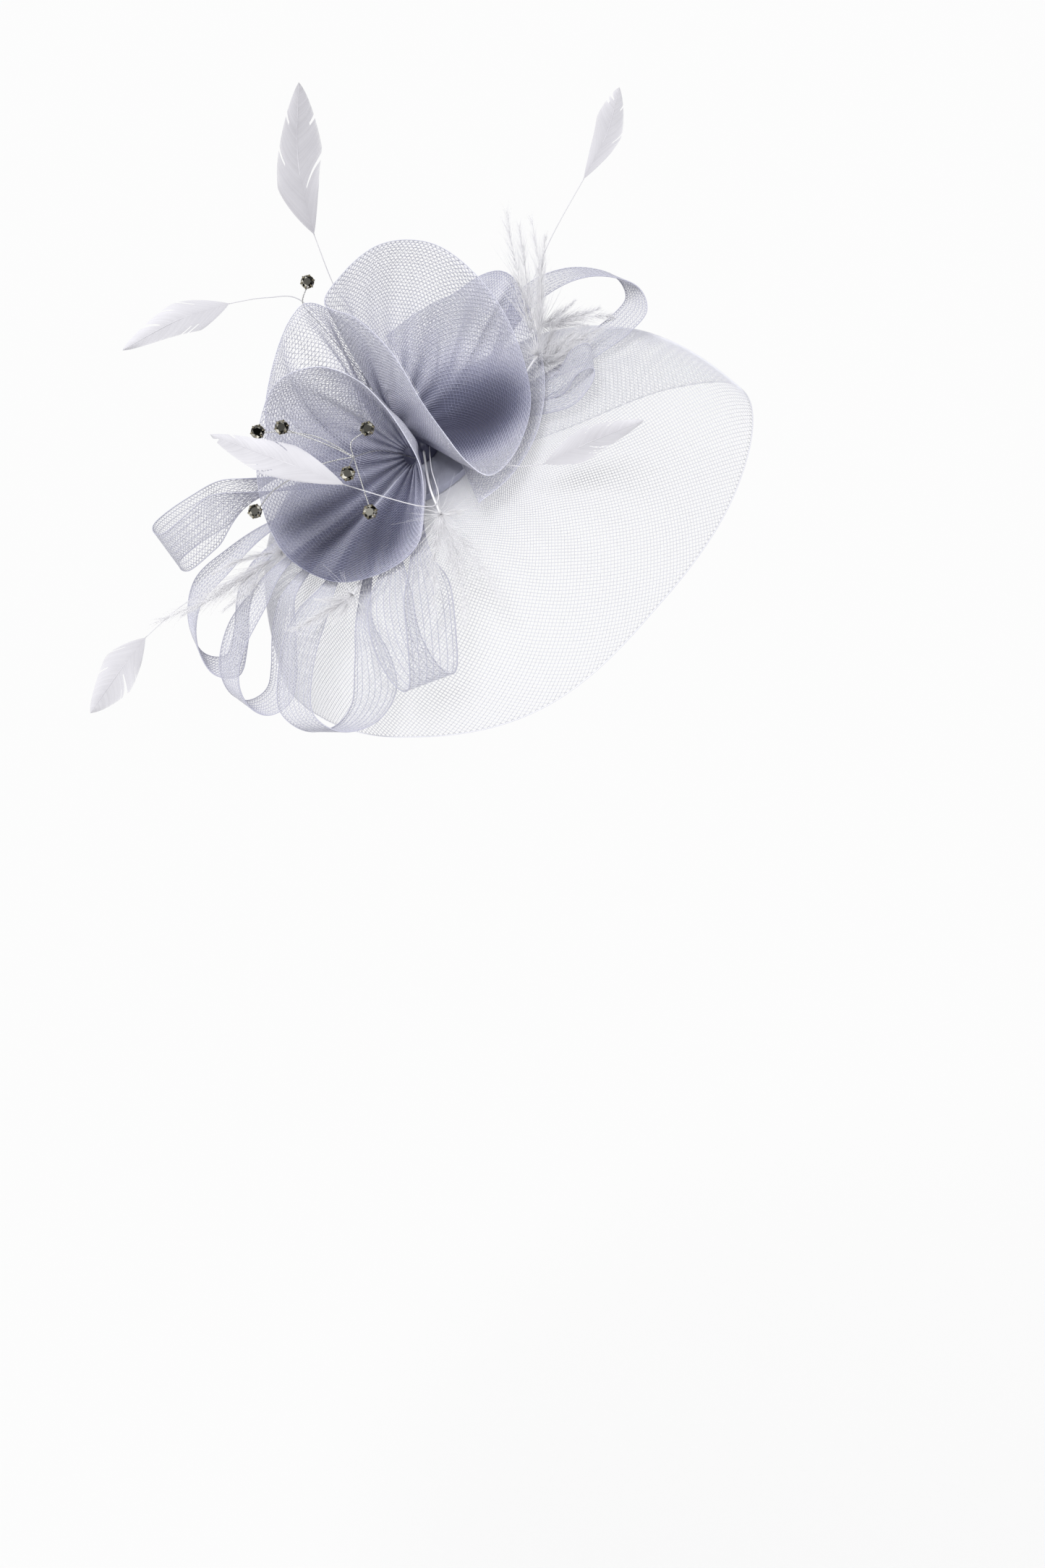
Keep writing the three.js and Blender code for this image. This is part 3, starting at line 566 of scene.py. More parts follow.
def petal_surface(rim_rows, closed, throat, folds):
    """A sheet from a small ring at the throat, v = 0, to the rim, v = 1, u of the way round.

    Each point goes straight from the ring to the rim, swells outwards by the belly times the
    sine of half a turn, and rides in and out with the gathers, which fade at the rim. A fold is
    a ridge inwards, a bell across it, that also grows and fades as the sine of half a turn.
    """
    samples = np.arange(24) / 24
    middle = smooth(rim_rows, samples, closed)[:, :3].mean(0) * petal_reach
    axis = unit(trim_axes @ middle - throat)

    def surface(u, v):
        rows = smooth(rim_rows, u, closed) * petal_reach
        rim = rows[..., :3] @ trim_axes.T
        reach = rim - throat
        outward = unit(reach - (reach @ axis)[..., None] * axis)
        foot = throat + outward * throat_radius
        v = np.asarray(v)[..., None]
        u = np.asarray(u)[..., None]
        gathers = pleat_depth * np.sin(2 * pi * pleats * u) * v * (1 - v) * 4
        ripple = np.sin(2 * pi * fine_pleats * u + wave_phase)
        fine = pleat_depth * 0.45 * ripple * v ** 0.7 * (1 - v) ** 1.6 * 3
        swell = rows[..., 3:] * np.sin(pi * v)
        for place, width, rise in folds:
            swell = swell - rise * np.exp(-((u - place) / width) ** 2) * np.sin(pi * v)
        return foot + (rim - foot) * v + outward * (swell + gathers + fine)

    return surface


def bias_filaments(surface, count, lean, steps, closed, lift, radius, way):
    """Filaments that cross a sheet from one edge to the other on the bias.

    Filament i starts at its share of the length and moves lean of the length sideways while it
    crosses the full width. On an open sheet it starts or stops where it meets the sheet's end.
    """
    if closed:
        start = np.arange(count) / count
        near, far = np.zeros(count), np.ones(count)
    else:
        first, last = (-lean, 1) if way > 0 else (0, 1 + lean)
        start = np.linspace(first, last, count + 2)[1:-1]
        low = -start / lean if way > 0 else (start - 1) / lean
        high = (1 - start) / lean if way > 0 else start / lean
        near, far = np.clip(low, 0, 1), np.clip(high, 0, 1)
    v = near[:, None] + (far - near)[:, None] * np.linspace(0, 1, steps)[None, :]
    u = start[:, None] + way * lean * v
    path, normal = on_sheet(surface, u, v)
    points, faces = threads(path + lift * normal, normal, radius)
    return points, faces, path, u, v


def pocket_depth_and_shade(points, u, v, pocket, size, strength, folds):
    """How deep in the petal a point lies, from 0 at an open rim to 1 in the dense gathers: partly the
    crin's density and partly painted shade.

    Two shares are laid one over the other: strength times a bell of the distance from the pocket's
    middle, flat in the middle and steep at its edge, and the way down to the throat to the power
    of 2.2, striped with painted shade by the pleats there. A fold takes a painted highlight on its crest
    and painted shade beside it.
    """
    # The pocket's bell: denser crin there, and painted shade where the petal cups
    away = np.linalg.norm(points - pocket, axis=-1) / size
    bell = strength * np.exp(-away ** 3)
    # Painted shade in stripes, in step with the fine pleats of the sheet
    stripes = 1 + 0.4 * np.sin(2 * pi * fine_pleats * u + wave_phase) * (1 - v)
    # Darker towards the throat: the denser gathers, and painted shade in the recess
    gathered_and_shaded = np.clip((1 - v) ** 2.2 * 0.8 * stripes, 0, 1)
    depth = 1 - (1 - bell) * (1 - gathered_and_shaded)
    for place, width, _ in folds:
        beside = (u - place) / width
        # A painted highlight on the fold's crest and painted shade beside it
        light = np.exp(-beside ** 2) - 0.6 * np.exp(-(beside - 1.6) ** 2)
        depth = depth - 0.3 * light * np.sin(pi * np.clip(v, 0, 1)) ** 0.5
    return np.clip(depth, 0, 1)


# Tones from the pale open rim to near black in the pocket: the dark end is painted shade over the deeper
# violet of dense crin
veil_tones = [
    (0.0, (0.88, 0.88, 0.93, 1)),
    (0.25, (0.58, 0.58, 0.71, 1)),
    (0.5, (0.28, 0.285, 0.40, 1)),
    (0.75, (0.095, 0.10, 0.165, 1)),
    (1.0, (0.03, 0.03, 0.06, 1)),
]
filament_tones = [
    (0.0, (0.58, 0.58, 0.67, 1)),
    (0.3, (0.67, 0.67, 0.78, 1)),
    (0.5, (0.51, 0.515, 0.64, 1)),
    (0.75, (0.23, 0.235, 0.345, 1)),
    (1.0, (0.05, 0.05, 0.10, 1)),
]


def crin_filament(shade):
    """Nylon filaments, pale at the rim, deeper violet and painted shade in the pocket, painted glints
    between.
    """
    depth = shade.attribute("depth")
    tone = depth * 0.92 + shade.noise(24, 3) * 0.2 - 0.1
    # Painted glints: fine noise turns the filaments white, less so towards the pocket
    glint = (shade.noise(1300, 1) - 0.57) * (1 - depth) * 7
    return {
        "Base Color": glint.mix(tone.ramp(filament_tones), (0.97, 0.97, 1.0, 1)),
        "Roughness": 0.24,
        "Specular IOR Level": 0.8,
    }


def crin_haze(shade):
    """The closer inner layers, seen as a veil that thickens towards the pocket, where its deeper colour is
    partly painted shade.
    """
    depth = shade.attribute("depth")
    clouds = shade.noise(30, 3)
    tone = depth + clouds * 0.2 - 0.1
    weave = shade.node(
        "ShaderNodeTexWave",
        {"wave_type": "BANDS", "bands_direction": "DIAGONAL"},
        {"Vector": shade.node("ShaderNodeUVMap", {"uv_map": "weave"}), "Scale": 40.0},
    )
    return {
        "Base Color": tone.ramp(veil_tones),
        "Roughness": 0.5,
        "Alpha": depth ** 0.9 * 0.95 + clouds * 0.1,
        "Normal": shade.bump(weave, 0.25, 0.0004),
    }


crin_thread = finish("crin_filament", crin_filament)
crin_veil = finish("crin_haze", crin_haze)
over_knot = knot_height + throat_radius
beside_knot = knot_radius + throat_radius + petal_wall

# name, rim, closed, clock of the throat, distance, height, filaments, lean,
# then the dense pocket, darkened with painted shade: its middle across, up and out, its size, and how
# dense and shaded it is,
# and the folds: place round, width and rise
petal_table = [
    ("petal_right", right_rim, True, 0, 0, over_knot, 122, 0.24, (0.25, 0.2, 0.27), 0.36, 0.98,
     [(0.02, 0.02, 0.003), (0.9, 0.02, 0.003)]),
    ("petal_left", left_rim, False, 148, beside_knot, 0.008, 80, 0.5, (-0.4, 0.1, 0.1), 0.3, 0.4,
     [(0.55, 0.04, 0.004)]),
    ("petal_front", front_rim, True, 230, beside_knot, 0.011, 124, 0.24, (-0.36, -0.38, 0.5), 0.46, 0.92,
     [(0.72, 0.03, 0.005), (0.79, 0.022, 0.003), (0.1, 0.03, 0.004)]),
    ("petal_back", back_rim, False, 350, beside_knot, 0.006, 112, 0.36, (0.47, 0.85, -0.2), 0.3, 0.45,
     [(0.4, 0.03, 0.004)]),
]
petal_grid = (160, 36)
petal_thread_radius = 0.00017
thread_sides = 3
crossing_stations = 24
arc_places = np.linspace(0.25, 0.95, 32)
arc_stations = 121
arc_waves = 9
arc_wave_height = 0.004
rim_places = (1.0, 0.985, 0.965)
rim_stations = 181
rim_radius = 0.00024
rim_sides = 5
for name, rim_rows, closed, clock, out, height, count, lean, pocket, size, strength, folds in petal_table:
    throat = over_base(clock, out, felt_thickness + height)
    surface = petal_surface(rim_rows, closed, throat, folds)
    middle = trim_axes @ np.array(pocket) * petal_reach
    depth_and_shade_at = partial(
        pocket_depth_and_shade, pocket=middle, size=size * petal_reach, strength=strength, folds=folds,
    )
    points, faces, share_u, share_v, area = sheet_grid(surface, *petal_grid, closed)
    depth = depth_and_shade_at(points, share_u, share_v)
    veil = piece(name + "_veil", points, [faces], crin_veil, [name], {"depth": depth})
    layer = veil.data.uv_layers.new(name="weave")
    corner = np.zeros(len(veil.data.loops), np.int32)
    veil.data.loops.foreach_get("vertex_index", corner)
    shares = np.stack([share_u[corner], share_v[corner]], -1)
    layer.data.foreach_set("uv", shares.astype(np.float32).ravel())
    bundles, depths_and_shades = [], []
    for way in (1, -1):
        points, faces, path, u, v = bias_filaments(
            surface, count, lean, crossing_stations, closed, way * petal_thread_radius,
            petal_thread_radius, way,
        )
        bundles.append((points, faces))
        depths_and_shades.append(np.repeat(depth_and_shade_at(path, u, v).ravel(), thread_sides))
    u = np.broadcast_to(np.linspace(0, 1, arc_stations), (len(arc_places), arc_stations))
    v = arc_places[:, None] + arc_wave_height * np.sin(2 * pi * arc_waves * u)
    path, normal = on_sheet(surface, u, v)
    bundles.append(threads(path, normal, petal_thread_radius, thread_sides))
    depths_and_shades.append(np.repeat(depth_and_shade_at(path, u, v).ravel(), thread_sides))
    points, faces = joined(bundles)
    net = piece(name + "_filaments", points, faces, crin_thread, [name],
                {"depth": np.concatenate(depths_and_shades)})
    around = np.linspace(0, 1, rim_stations)[None, :]
    bundles, depths_and_shades = [], []
    for place in rim_places:
        path, normal = on_sheet(surface, around, np.full_like(around, place))
        bundles.append(threads(path, normal, rim_radius * place ** 20, rim_sides))
        depths_and_shades.append(np.repeat(depth_and_shade_at(path, around, place).ravel(), rim_sides) * 0.6 + 0.36)
    points, faces = joined(bundles)
    rim = piece(name + "_rim", points, faces, crin_thread, [name],
                {"depth": np.concatenate(depths_and_shades)})
    width = path_length(surface(np.full(30, 0.5), np.linspace(0, 1, 30)))
    length = path_length(surface(around[0], np.ones(around.shape[1])))
    float(min(area, width * length))


# Bound ends of the petals
# The gathered edges of the petals, wound with thread into a low button on the felt. Its pleats
# run up to the middle, and it shows only between the petals.

knot_pleats = 16
knot_grid = (192, 20)


def knot_surface(u, v):
    """A straight-sided button that closes in near the top, with its radius waving in pleats.

    The radius is a power of what is left above, and the height grows as a power of the way up.
    """
    pleat = 1 + 0.06 * np.cos(2 * pi * knot_pleats * u) * np.sin(pi * v)
    radius = knot_radius * np.minimum(1, 1.9 * (1 - v)) ** 0.6 * pleat * 0.94
    height = felt_thickness + clearance + knot_height * np.minimum(1, v * 1.15) ** 0.9
    return round_base(2 * pi * u, radius, height)


points, faces, _, share_v, _ = sheet_grid(knot_surface, *knot_grid, True)
# The near-black colour of the bound ends is painted shade, for the dark gap between the petals
depth = 1.0 - share_v * 0.04
piece("bound_ends", points, [faces], crin_thread, ["gather_knot"], {"depth": depth})


# Ribbon loops
# Lengths of narrow flat crin ribbon, doubled over and sewn to the felt by both pinched ends under
# the petals. A cord runs in each selvedge.

loop_reach = 0.100
root_radius = 0.034
ribbon_width = 0.025
ribbon_pinch = 0.0045
ribbon_wall = 0.001

# name, standing, clocks of the two ends, then rows of clock, reach and height
loop_table = [
    ("loop_1", True, 122, 136, [
        (137, 0.88, 0.26), (134, 1.12, 0.19), (137, 1.29, 0.19), (144, 1.36, 0.23),
        (151, 1.3, 0.25), (151, 1.12, 0.28), (148, 0.91, 0.3),
    ]),
    ("loop_2", False, 146, 157, [
        (149, 0.86, 0.09), (151, 1.12, 0.06), (153, 1.32, 0.02), (155, 1.45, -0.12), (158, 1.48, -0.28),
        (160, 1.38, -0.35), (160, 1.26, -0.24), (159, 1.12, -0.07), (158, 0.92, 0.04),
    ]),
    ("loop_3", False, 176, 185, [
        (177, 0.92, 0.1), (172, 1.1, 0.0), (169, 1.28, -0.11), (169, 1.42, -0.24), (171, 1.47, -0.36),
        (173, 1.43, -0.45), (175, 1.32, -0.45), (177, 1.23, -0.34), (180, 1.1, -0.11), (184, 0.97, 0.04),
    ]),
    ("loop_4", False, 196, 206, [
        (199, 0.93, 0.05), (197, 1.08, 0.02), (193, 1.2, -0.08), (190, 1.32, -0.23), (191, 1.44, -0.35),
        (196, 1.46, -0.45), (203, 1.41, -0.46), (209, 1.34, -0.36), (211, 1.24, -0.2), (210, 1.08, -0.06),
    ]),
    ("loop_5", False, 217, 229, [
        (220, 0.92, 0.04), (220, 1.13, 0.0), (220, 1.29, -0.12), (222, 1.41, -0.26),
        (225, 1.45, -0.28), (228, 1.34, -0.13), (230, 1.18, 0.0), (230, 0.98, 0.05),
    ]),
    ("loop_6", False, 364, 333, [
        (363, 0.84, 0.18), (359, 1.05, 0.24), (353, 1.24, 0.21), (348, 1.37, 0.09),
        (343, 1.34, 0.0), (339, 1.2, 0.0), (336, 1.06, 0.02), (333, 0.86, 0.02),
    ]),
    ("loop_7", False, 321, 311, [
        (322, 0.78, 0.04), (323, 0.9, 0.1), (322, 0.99, 0.1), (318, 0.96, 0.06), (313, 0.82, 0.03),
    ]),
]


def eased(share, low, high):
    """0 below low, 1 above high, and a smooth cubic between."""
    t = np.clip((share - low) / (high - low), 0, 1)
    return t * t * (3 - 2 * t)


def loop_surface(standing, start, end, rows):
    """A ribbon along its route, u, and across its width, v.

    The route is the smooth curve through the rows, each a clock angle, a reach and a height, with
    two more rows at each sewn end. The width eases from the pinch to the full ribbon. It lies along
    the base, and on a standing loop it turns up by a quarter past the felt.
    """
    root_height = (felt_thickness + clearance + ribbon_wall / 2) / loop_reach
    over_edge = 1.3 * felt_radius / loop_reach
    over_height = root_height + (0.05 if standing else 0.008)
    root = root_radius / loop_reach
    legs = [(start, root, root_height), (start, over_edge, over_height), *rows,
            (end, over_edge, over_height), (end, root, root_height)]

    def surface(u, v):
        clock, reach, height = np.moveaxis(smooth(legs, u), -1, 0)
        clock = np.radians(clock)
        height = np.where(reach * loop_reach < 1.1 * felt_radius, np.maximum(height, root_height), height)
        near = np.minimum(u, 1 - u)
        width = ribbon_pinch + (ribbon_width - ribbon_pinch) * eased(near, 0.1, 0.3)
        raised = eased(near, 0.1, 0.24) * (pi / 2 if standing else 0)
        centre = np.stack([reach * np.cos(clock), reach * np.sin(clock), height], -1) * loop_reach
        level = np.cos(raised)
        side = np.stack([-np.sin(clock) * level, np.cos(clock) * level, np.sin(raised)], -1)
        return (centre + side * (width * (v - 0.5))[..., None]) @ base_axes.T

    return surface


def loop_filament(shade):
    """The same nylon, paler across the ribbon and greyer in its long threads and selvedges."""
    tone = shade.noise(26, 2) - shade.attribute("selvedge") * 0.9 + 0.15
    return {
        "Base Color": tone.mix((0.54, 0.54, 0.64, 1), (0.88, 0.88, 0.92, 1)),
        "Roughness": 0.32,
    }


def loop_haze(shade):
    """The faint bloom between the ribbon's threads."""
    tone = shade.noise(30, 2)
    return {
        "Base Color": tone.mix((0.50, 0.51, 0.63, 1), (0.70, 0.71, 0.80, 1)),
        "Roughness": 0.6,
        "Alpha": tone * 0.08,
    }


loop_thread = finish("loop_filament", loop_filament)
loop_veil = finish("loop_haze", loop_haze)
loop_grid = (120, 8)
loop_crossing_stations = 8
long_thread_stations = 121
loop_thread_radius = 0.00017
loop_pitch = 0.0023
selvedge_radius = 0.0003
long_thread_sides = 4
# place across and radius: the two selvedges, then the long threads between them
long_threads = [(0.0, selvedge_radius), (1.0, selvedge_radius)]
long_threads += [(place, loop_thread_radius) for place in (0.08, 0.2, 0.36, 0.5, 0.64, 0.8, 0.92)]
for name, standing, start, end, rows in loop_table:
    surface = loop_surface(standing, start, end, rows)
    points, faces, _, _, area = sheet_grid(surface, *loop_grid, False)
    ground = piece(name + "_ground", points, [faces], loop_veil, [name])
    length = path_length(surface(np.linspace(0, 1, 200), np.full(200, 0.5)))
    lean = ribbon_width / length
    bundles, selvedge = [], []
    for way in (1, -1):
        points, faces, _, _, _ = bias_filaments(
            surface, int(length / loop_pitch), lean, loop_crossing_stations, False,
            way * loop_thread_radius * 0.5, loop_thread_radius, way,
        )
        bundles.append((points, faces))
        selvedge.append(np.zeros(len(points)))
    along = np.linspace(0, 1, long_thread_stations)[None, :]
    for place, radius in long_threads:
        path, normal = on_sheet(surface, along, np.full_like(along, place))
        points, faces = threads(path, normal, radius, long_thread_sides)
        bundles.append((points, faces))
        selvedge.append(np.ones(len(points)))
    points, faces = joined(bundles)
    net = piece(name + "_filaments", points, faces, loop_thread, [name],
                {"selvedge": np.concatenate(selvedge)})
    float(min(area, ribbon_width * length))


# Quill feathers
# Goose feathers stripped to a bare quill, with a lozenge of vane left at the tip and trimmed to
# shape. Two rows of flat barbs lean forward from the rib. Each quill is sewn to the felt.

# quill_radius is that of the built solid, which seats the root. The real quill is stripped finer
quill_reach = 0.100
quill_radius = 0.0007
stripped_radius = 0.00028
beside_knot_quill = knot_radius + clearance + quill_radius
on_felt = felt_thickness + clearance + quill_radius
on_knot = felt_thickness + knot_height * 0.45

# name, root, route, vane, width, where each side is widest, the share and side of the split in
# the vane, and how pale it is
quill_table = [
    ("quill_1", over_base(78, root_radius, on_felt),
     [(-0.22, 0.42, -0.3), (-0.36, 0.75, -0.2), (-0.44, 0.87, -0.16), (-0.53, 1.11, -0.1)],
     [(-0.53, 1.11, -0.1), (-0.6, 1.45, -0.07), (-0.59, 1.84, -0.02)], 0.024, (0.6, 0.38), 0.3, 1, 0.3),
    ("quill_2", over_base(104, root_radius, on_felt),
     [(-0.38, 0.5, -0.2), (-0.59, 0.78, -0.12), (-0.77, 0.8, -0.06), (-0.95, 0.77, -0.02)],
     [(-0.95, 0.77, -0.02), (-1.2, 0.69, 0.01), (-1.48, 0.54, 0.04)], 0.017, (0.5, 0.36), 0.62, 1, 0.62),
    ("quill_3", over_base(272, beside_knot_quill, on_knot),
     [(0.04, -0.05, 0.62), (0.07, -0.19, 0.8), (-0.02, -0.22, 0.88), (-0.37, -0.12, 0.8)],
     [(-0.37, -0.12, 0.8), (-0.66, -0.01, 0.71), (-1.01, 0.12, 0.62)], 0.018, (0.46, 0.6), 0.9, -1, 0.6),
    ("quill_4", over_base(164, root_radius, on_felt),
     [(-0.6, -0.33, 0.1), (-0.88, -0.55, 0.14), (-1.18, -0.7, 0.12), (-1.4, -0.88, 0.04)],
     [(-1.4, -0.88, 0.04), (-1.53, -1.04, 0.0), (-1.7, -1.27, -0.06)], 0.020, (0.5, 0.62), 0.5, -1, 0.6),
    ("quill_5", over_base(22, root_radius, on_felt),
     [(0.43, 0.6, -0.33), (0.56, 0.87, -0.38), (0.67, 1.12, -0.36), (0.83, 1.4, -0.32)],
     [(0.83, 1.4, -0.32), (0.95, 1.63, -0.3), (1.01, 1.85, -0.28)], 0.015, (0.5, 0.62), 0.8, -1, 0.5),
    ("quill_6", over_base(283, beside_knot_quill, on_knot),
     [(0.2, -0.03, 0.48), (0.37, -0.03, 0.68), (0.46, -0.04, 0.7), (0.57, -0.03, 0.76)],
     [(0.57, -0.03, 0.76), (0.78, 0.07, 0.83), (1.03, 0.17, 0.93)], 0.015, (0.4, 0.5), 0.45, 1, 0.5),
]


def in_trim(shares, reach):
    """Points given as shares across, up and out, in the trim's frame."""
    return np.asarray(shares, float) @ trim_axes.T * reach


def route_normal(path):
    """The direction in which a route's points spread least, so it is never along the route."""
    centred = path - path.mean(0)
    return np.broadcast_to(np.linalg.svd(centred, full_matrices=False)[2][2], path.shape)


def rod_along(points, stations, first_radius, last_radius, sides):
    """A rod through chosen points, thinning evenly from end to end."""
    path = smooth(points, np.linspace(0, 1, stations))
    radius = np.linspace(first_radius, last_radius, stations)
    return threads(path[None], route_normal(path)[None], radius[None], sides)


def feather_barbs(shade):
    """Fine streaks along the barbs, with a soft edge where they thin out."""
    out = shade.attribute("across")
    streak = shade.attribute("barb")
    cloud = shade.noise(60, 3)
    tone = shade.attribute("paleness") + out * 0.2 + streak * 0.14 + cloud * 0.3 - 0.3
    return {
        "Base Color": tone.mix((0.40, 0.39, 0.42, 1), (0.80, 0.79, 0.83, 1)),
        "Roughness": 0.6,
        "Alpha": 0.97 - out ** 12 * (0.1 + streak * 0.5),
    }


def feather_rib(shade):
    """Pale horn, a little uneven."""
    horn = shade.noise(90, 2)
    return {
        "Base Color": horn.mix((0.66, 0.65, 0.69, 1), (0.80, 0.79, 0.82, 1)),
        "Roughness": horn * 0.1 + 0.35,
    }


barb_finish = finish("feather_barbs", feather_barbs)
rib_finish = finish("feather_rib", feather_rib)
barbs_a_side = 120
web_columns = 9
barb_sweep = 0.35
barb_part = 0.022
slit_reach = 0.08
vane_cup = 0.06
quill_sides = 6
barb_draw = np.random.default_rng(5)
face_out = trim_axes[:, 2]


def vane_side(rib_points, vane_width, side, peak, split_place, split):
    """One side of a vane, a thin web of barbs side by side, from the rib out to the cut outline.

    A barb moves forward along the rib by a share of what is left of it, as it goes out. The
    outline is a lozenge: one, less the distance from its widest place as a share of the way to
    the end there, to the power of 1.35. The web is slit from the rib out at the split and from
    half way at short tears, and the barbs on both sides of a slit part a little.
    """
    rooted = np.linspace(0.0, 0.99, barbs_a_side)[:, None]
    out = np.linspace(0, 1, web_columns)[None, :]
    parted = np.zeros_like(rooted)
    slits = [(split_place, split, 2)] + [(place, 0.4, 5) for place in barb_draw.uniform(0.1, 0.8, 2)]
    keep = np.ones((barbs_a_side - 1, web_columns - 1), bool)
    for place, strength, inner in slits:
        push = np.where(rooted > place, 1, -1) * strength
        parted = parted + np.exp(-np.abs(rooted - place) / slit_reach) * push
        if strength > 0.1:
            keep[int(place * barbs_a_side), inner:] = False
    place = rooted + barb_sweep * (1 - rooted) * out ** 1.2 + barb_part * parted * out ** 1.5
    place = np.clip(place, 0, 1)
    span = np.where(place < peak, peak, 1 - peak)
    half = vane_width / 2 * (1 - (np.abs(place - peak) / span) ** 1.35)
    fullness = out ** (0.25 + 0.75 * np.minimum(1, rooted / 0.2))
    rib = smooth(rib_points, place)
    along = unit(smooth(rib_points, np.minimum(place + 0.01, 1)) - smooth(rib_points, place - 0.01))
    sideways = unit(np.cross(along, face_out))
    wave = 0.03 * vane_width * np.sin(6.0 * rooted + 1.5 * side) * out ** 2
    cup = vane_cup * vane_width * (1 - out ** 2) + wave
    points = rib + sideways * (side * half * fullness)[..., None] + face_out * cup[..., None]
    faces = grid_faces(barbs_a_side, web_columns, False)[keep.ravel()][:, ::side]
    streak = np.broadcast_to(barb_draw.uniform(0, 1, rooted.shape), points.shape[:2])
    share = np.broadcast_to(out, points.shape[:2])
    return (points.reshape(-1, 3), [faces]), share.ravel(), streak.ravel()


for name, root, route, vane, vane_width, peaks, split_place, split_side, paleness in quill_table:
    rib_points = in_trim(vane, quill_reach)
    webs, across, streaks = [], [], []
    for side, peak in zip((1, -1), peaks):
        split = 1.0 if side == split_side else 0.1
        web, share, streak = vane_side(rib_points, vane_width, side, peak, split_place, split)
        webs.append(web)
        across.append(share)
        streaks.append(streak)
    points, faces = joined(webs)
    piece(name + "_barbs", points, faces, barb_finish, [name],
          {"across": np.concatenate(across), "barb": np.concatenate(streaks),
           "paleness": np.full(len(points), paleness)})
    bare = np.vstack([root, in_trim(route, quill_reach)])
    rib = np.vstack([bare[-1], (rib_points + face_out * vane_cup * vane_width)[1:]])
    points, faces = joined([
        rod_along(bare, 60, stripped_radius, stripped_radius * 0.8, quill_sides),
        rod_along(rib, 40, stripped_radius * 0.8, stripped_radius * 0.25, quill_sides),
    ])
    piece(name + "_quill", points, faces, rib_finish, [name])


# Soft tufts
# Bundles of hackle and marabou tips tied to a short stalk. Each lock is a thin rib with soft
# barbs on all sides that shorten towards its tip.

plume_reach = 0.100

# name, root, stalk, tips of the locks, how far the barbs spread, and the size of the soft head
plume_table = [
    ("plume_1", over_base(345, knot_radius * 0.9, felt_thickness + knot_height * 0.8),
     [(0.34, 0.22, 0.19), (0.57, 0.5, 0.13)],
     [(0.43, 1.22, -0.06), (0.49, 1.15, -0.02), (0.55, 1.18, -0.03), (0.62, 1.09, 0.0), (0.59, 0.9, 0.08)],
     0.3, 0.16),
    ("plume_2", over_base(347, root_radius, on_felt),
     [(0.5, 0.5, -0.08), (0.6, 0.66, -0.14)],
     [(0.78, 0.79, -0.2), (0.9, 0.75, -0.16), (0.97, 0.7, -0.12), (0.84, 0.66, -0.08)],
     0.45, 0.2),
    ("plume_3", over_base(341, root_radius, on_felt),
     [(0.43, 0.36, -0.02), (0.6, 0.46, 0.02)],
     [(0.7, 0.72, -0.06), (0.82, 0.68, 0.02), (0.93, 0.64, 0.08), (0.86, 0.6, 0.1), (0.76, 0.56, 0.1)],
     0.5, 0.2),
    ("plume_4", over_base(170, root_radius, on_felt),
     [(-0.56, -0.36, 0.2), (-0.7, -0.46, 0.22)],
     [(-1.05, -0.56, 0.22), (-1.34, -0.8, 0.16), (-1.2, -0.76, 0.2), (-1.0, -0.74, 0.26),
      (-1.08, -0.66, 0.24)],
     0.3, 0.14),
    ("plume_5", over_base(211.5, root_radius, on_felt),
     [(-0.26, -0.5, 0.6), (-0.34, -0.64, 0.76)],
     [(-0.52, -0.66, 0.74), (-0.65, -0.81, 0.72), (-0.56, -0.76, 0.76), (-0.44, -0.78, 0.8)],
     0.42, 0.16),
    ("plume_6", over_base(255.5, beside_knot_quill, on_knot),
     [(0.03, -0.13, 0.68), (0.08, -0.26, 0.88)],
     [(0.2, -0.24, 0.86), (0.08, -0.4, 0.98), (0.14, -0.55, 1.06), (0.37, -0.68, 1.1), (0.18, -0.78, 1.13),
      (0.05, -0.72, 1.17)],
     0.5, 0.16),
]


def down(shade):
    """Near-white fibre with slightly greyer wisps."""
    wisps = shade.noise(60, 3)
    return {
        "Base Color": wisps.mix((0.88, 0.87, 0.90, 1), (0.98, 0.975, 0.99, 1)),
        "Roughness": 0.7,
    }


down_finish = finish("down", down)
lock_draw = np.random.default_rng(11)
barbs_a_lock = 180
barb_length_share = 0.3
barb_root_radius = 0.00010
lock_bow = 0.16
lock_rib_radius = 0.0002
lock_tip_radius = 0.00006
head_barbs = 110
stalk_radius = 0.0006
stalk_end_radius = 0.0005
stalk_sides = 6


def soft_barbs(path, way, beside):
    """Barbs along paths, each thinning by three quarters of its root from there to its tip."""
    t = np.linspace(0, 1, path.shape[1])
    side = unit(np.cross(way, beside))[:, None] * np.ones((1, len(t), 1))
    radius = barb_root_radius * (1 - 0.75 * t) * np.ones((len(path), 1))
    return threads(path, side, radius)


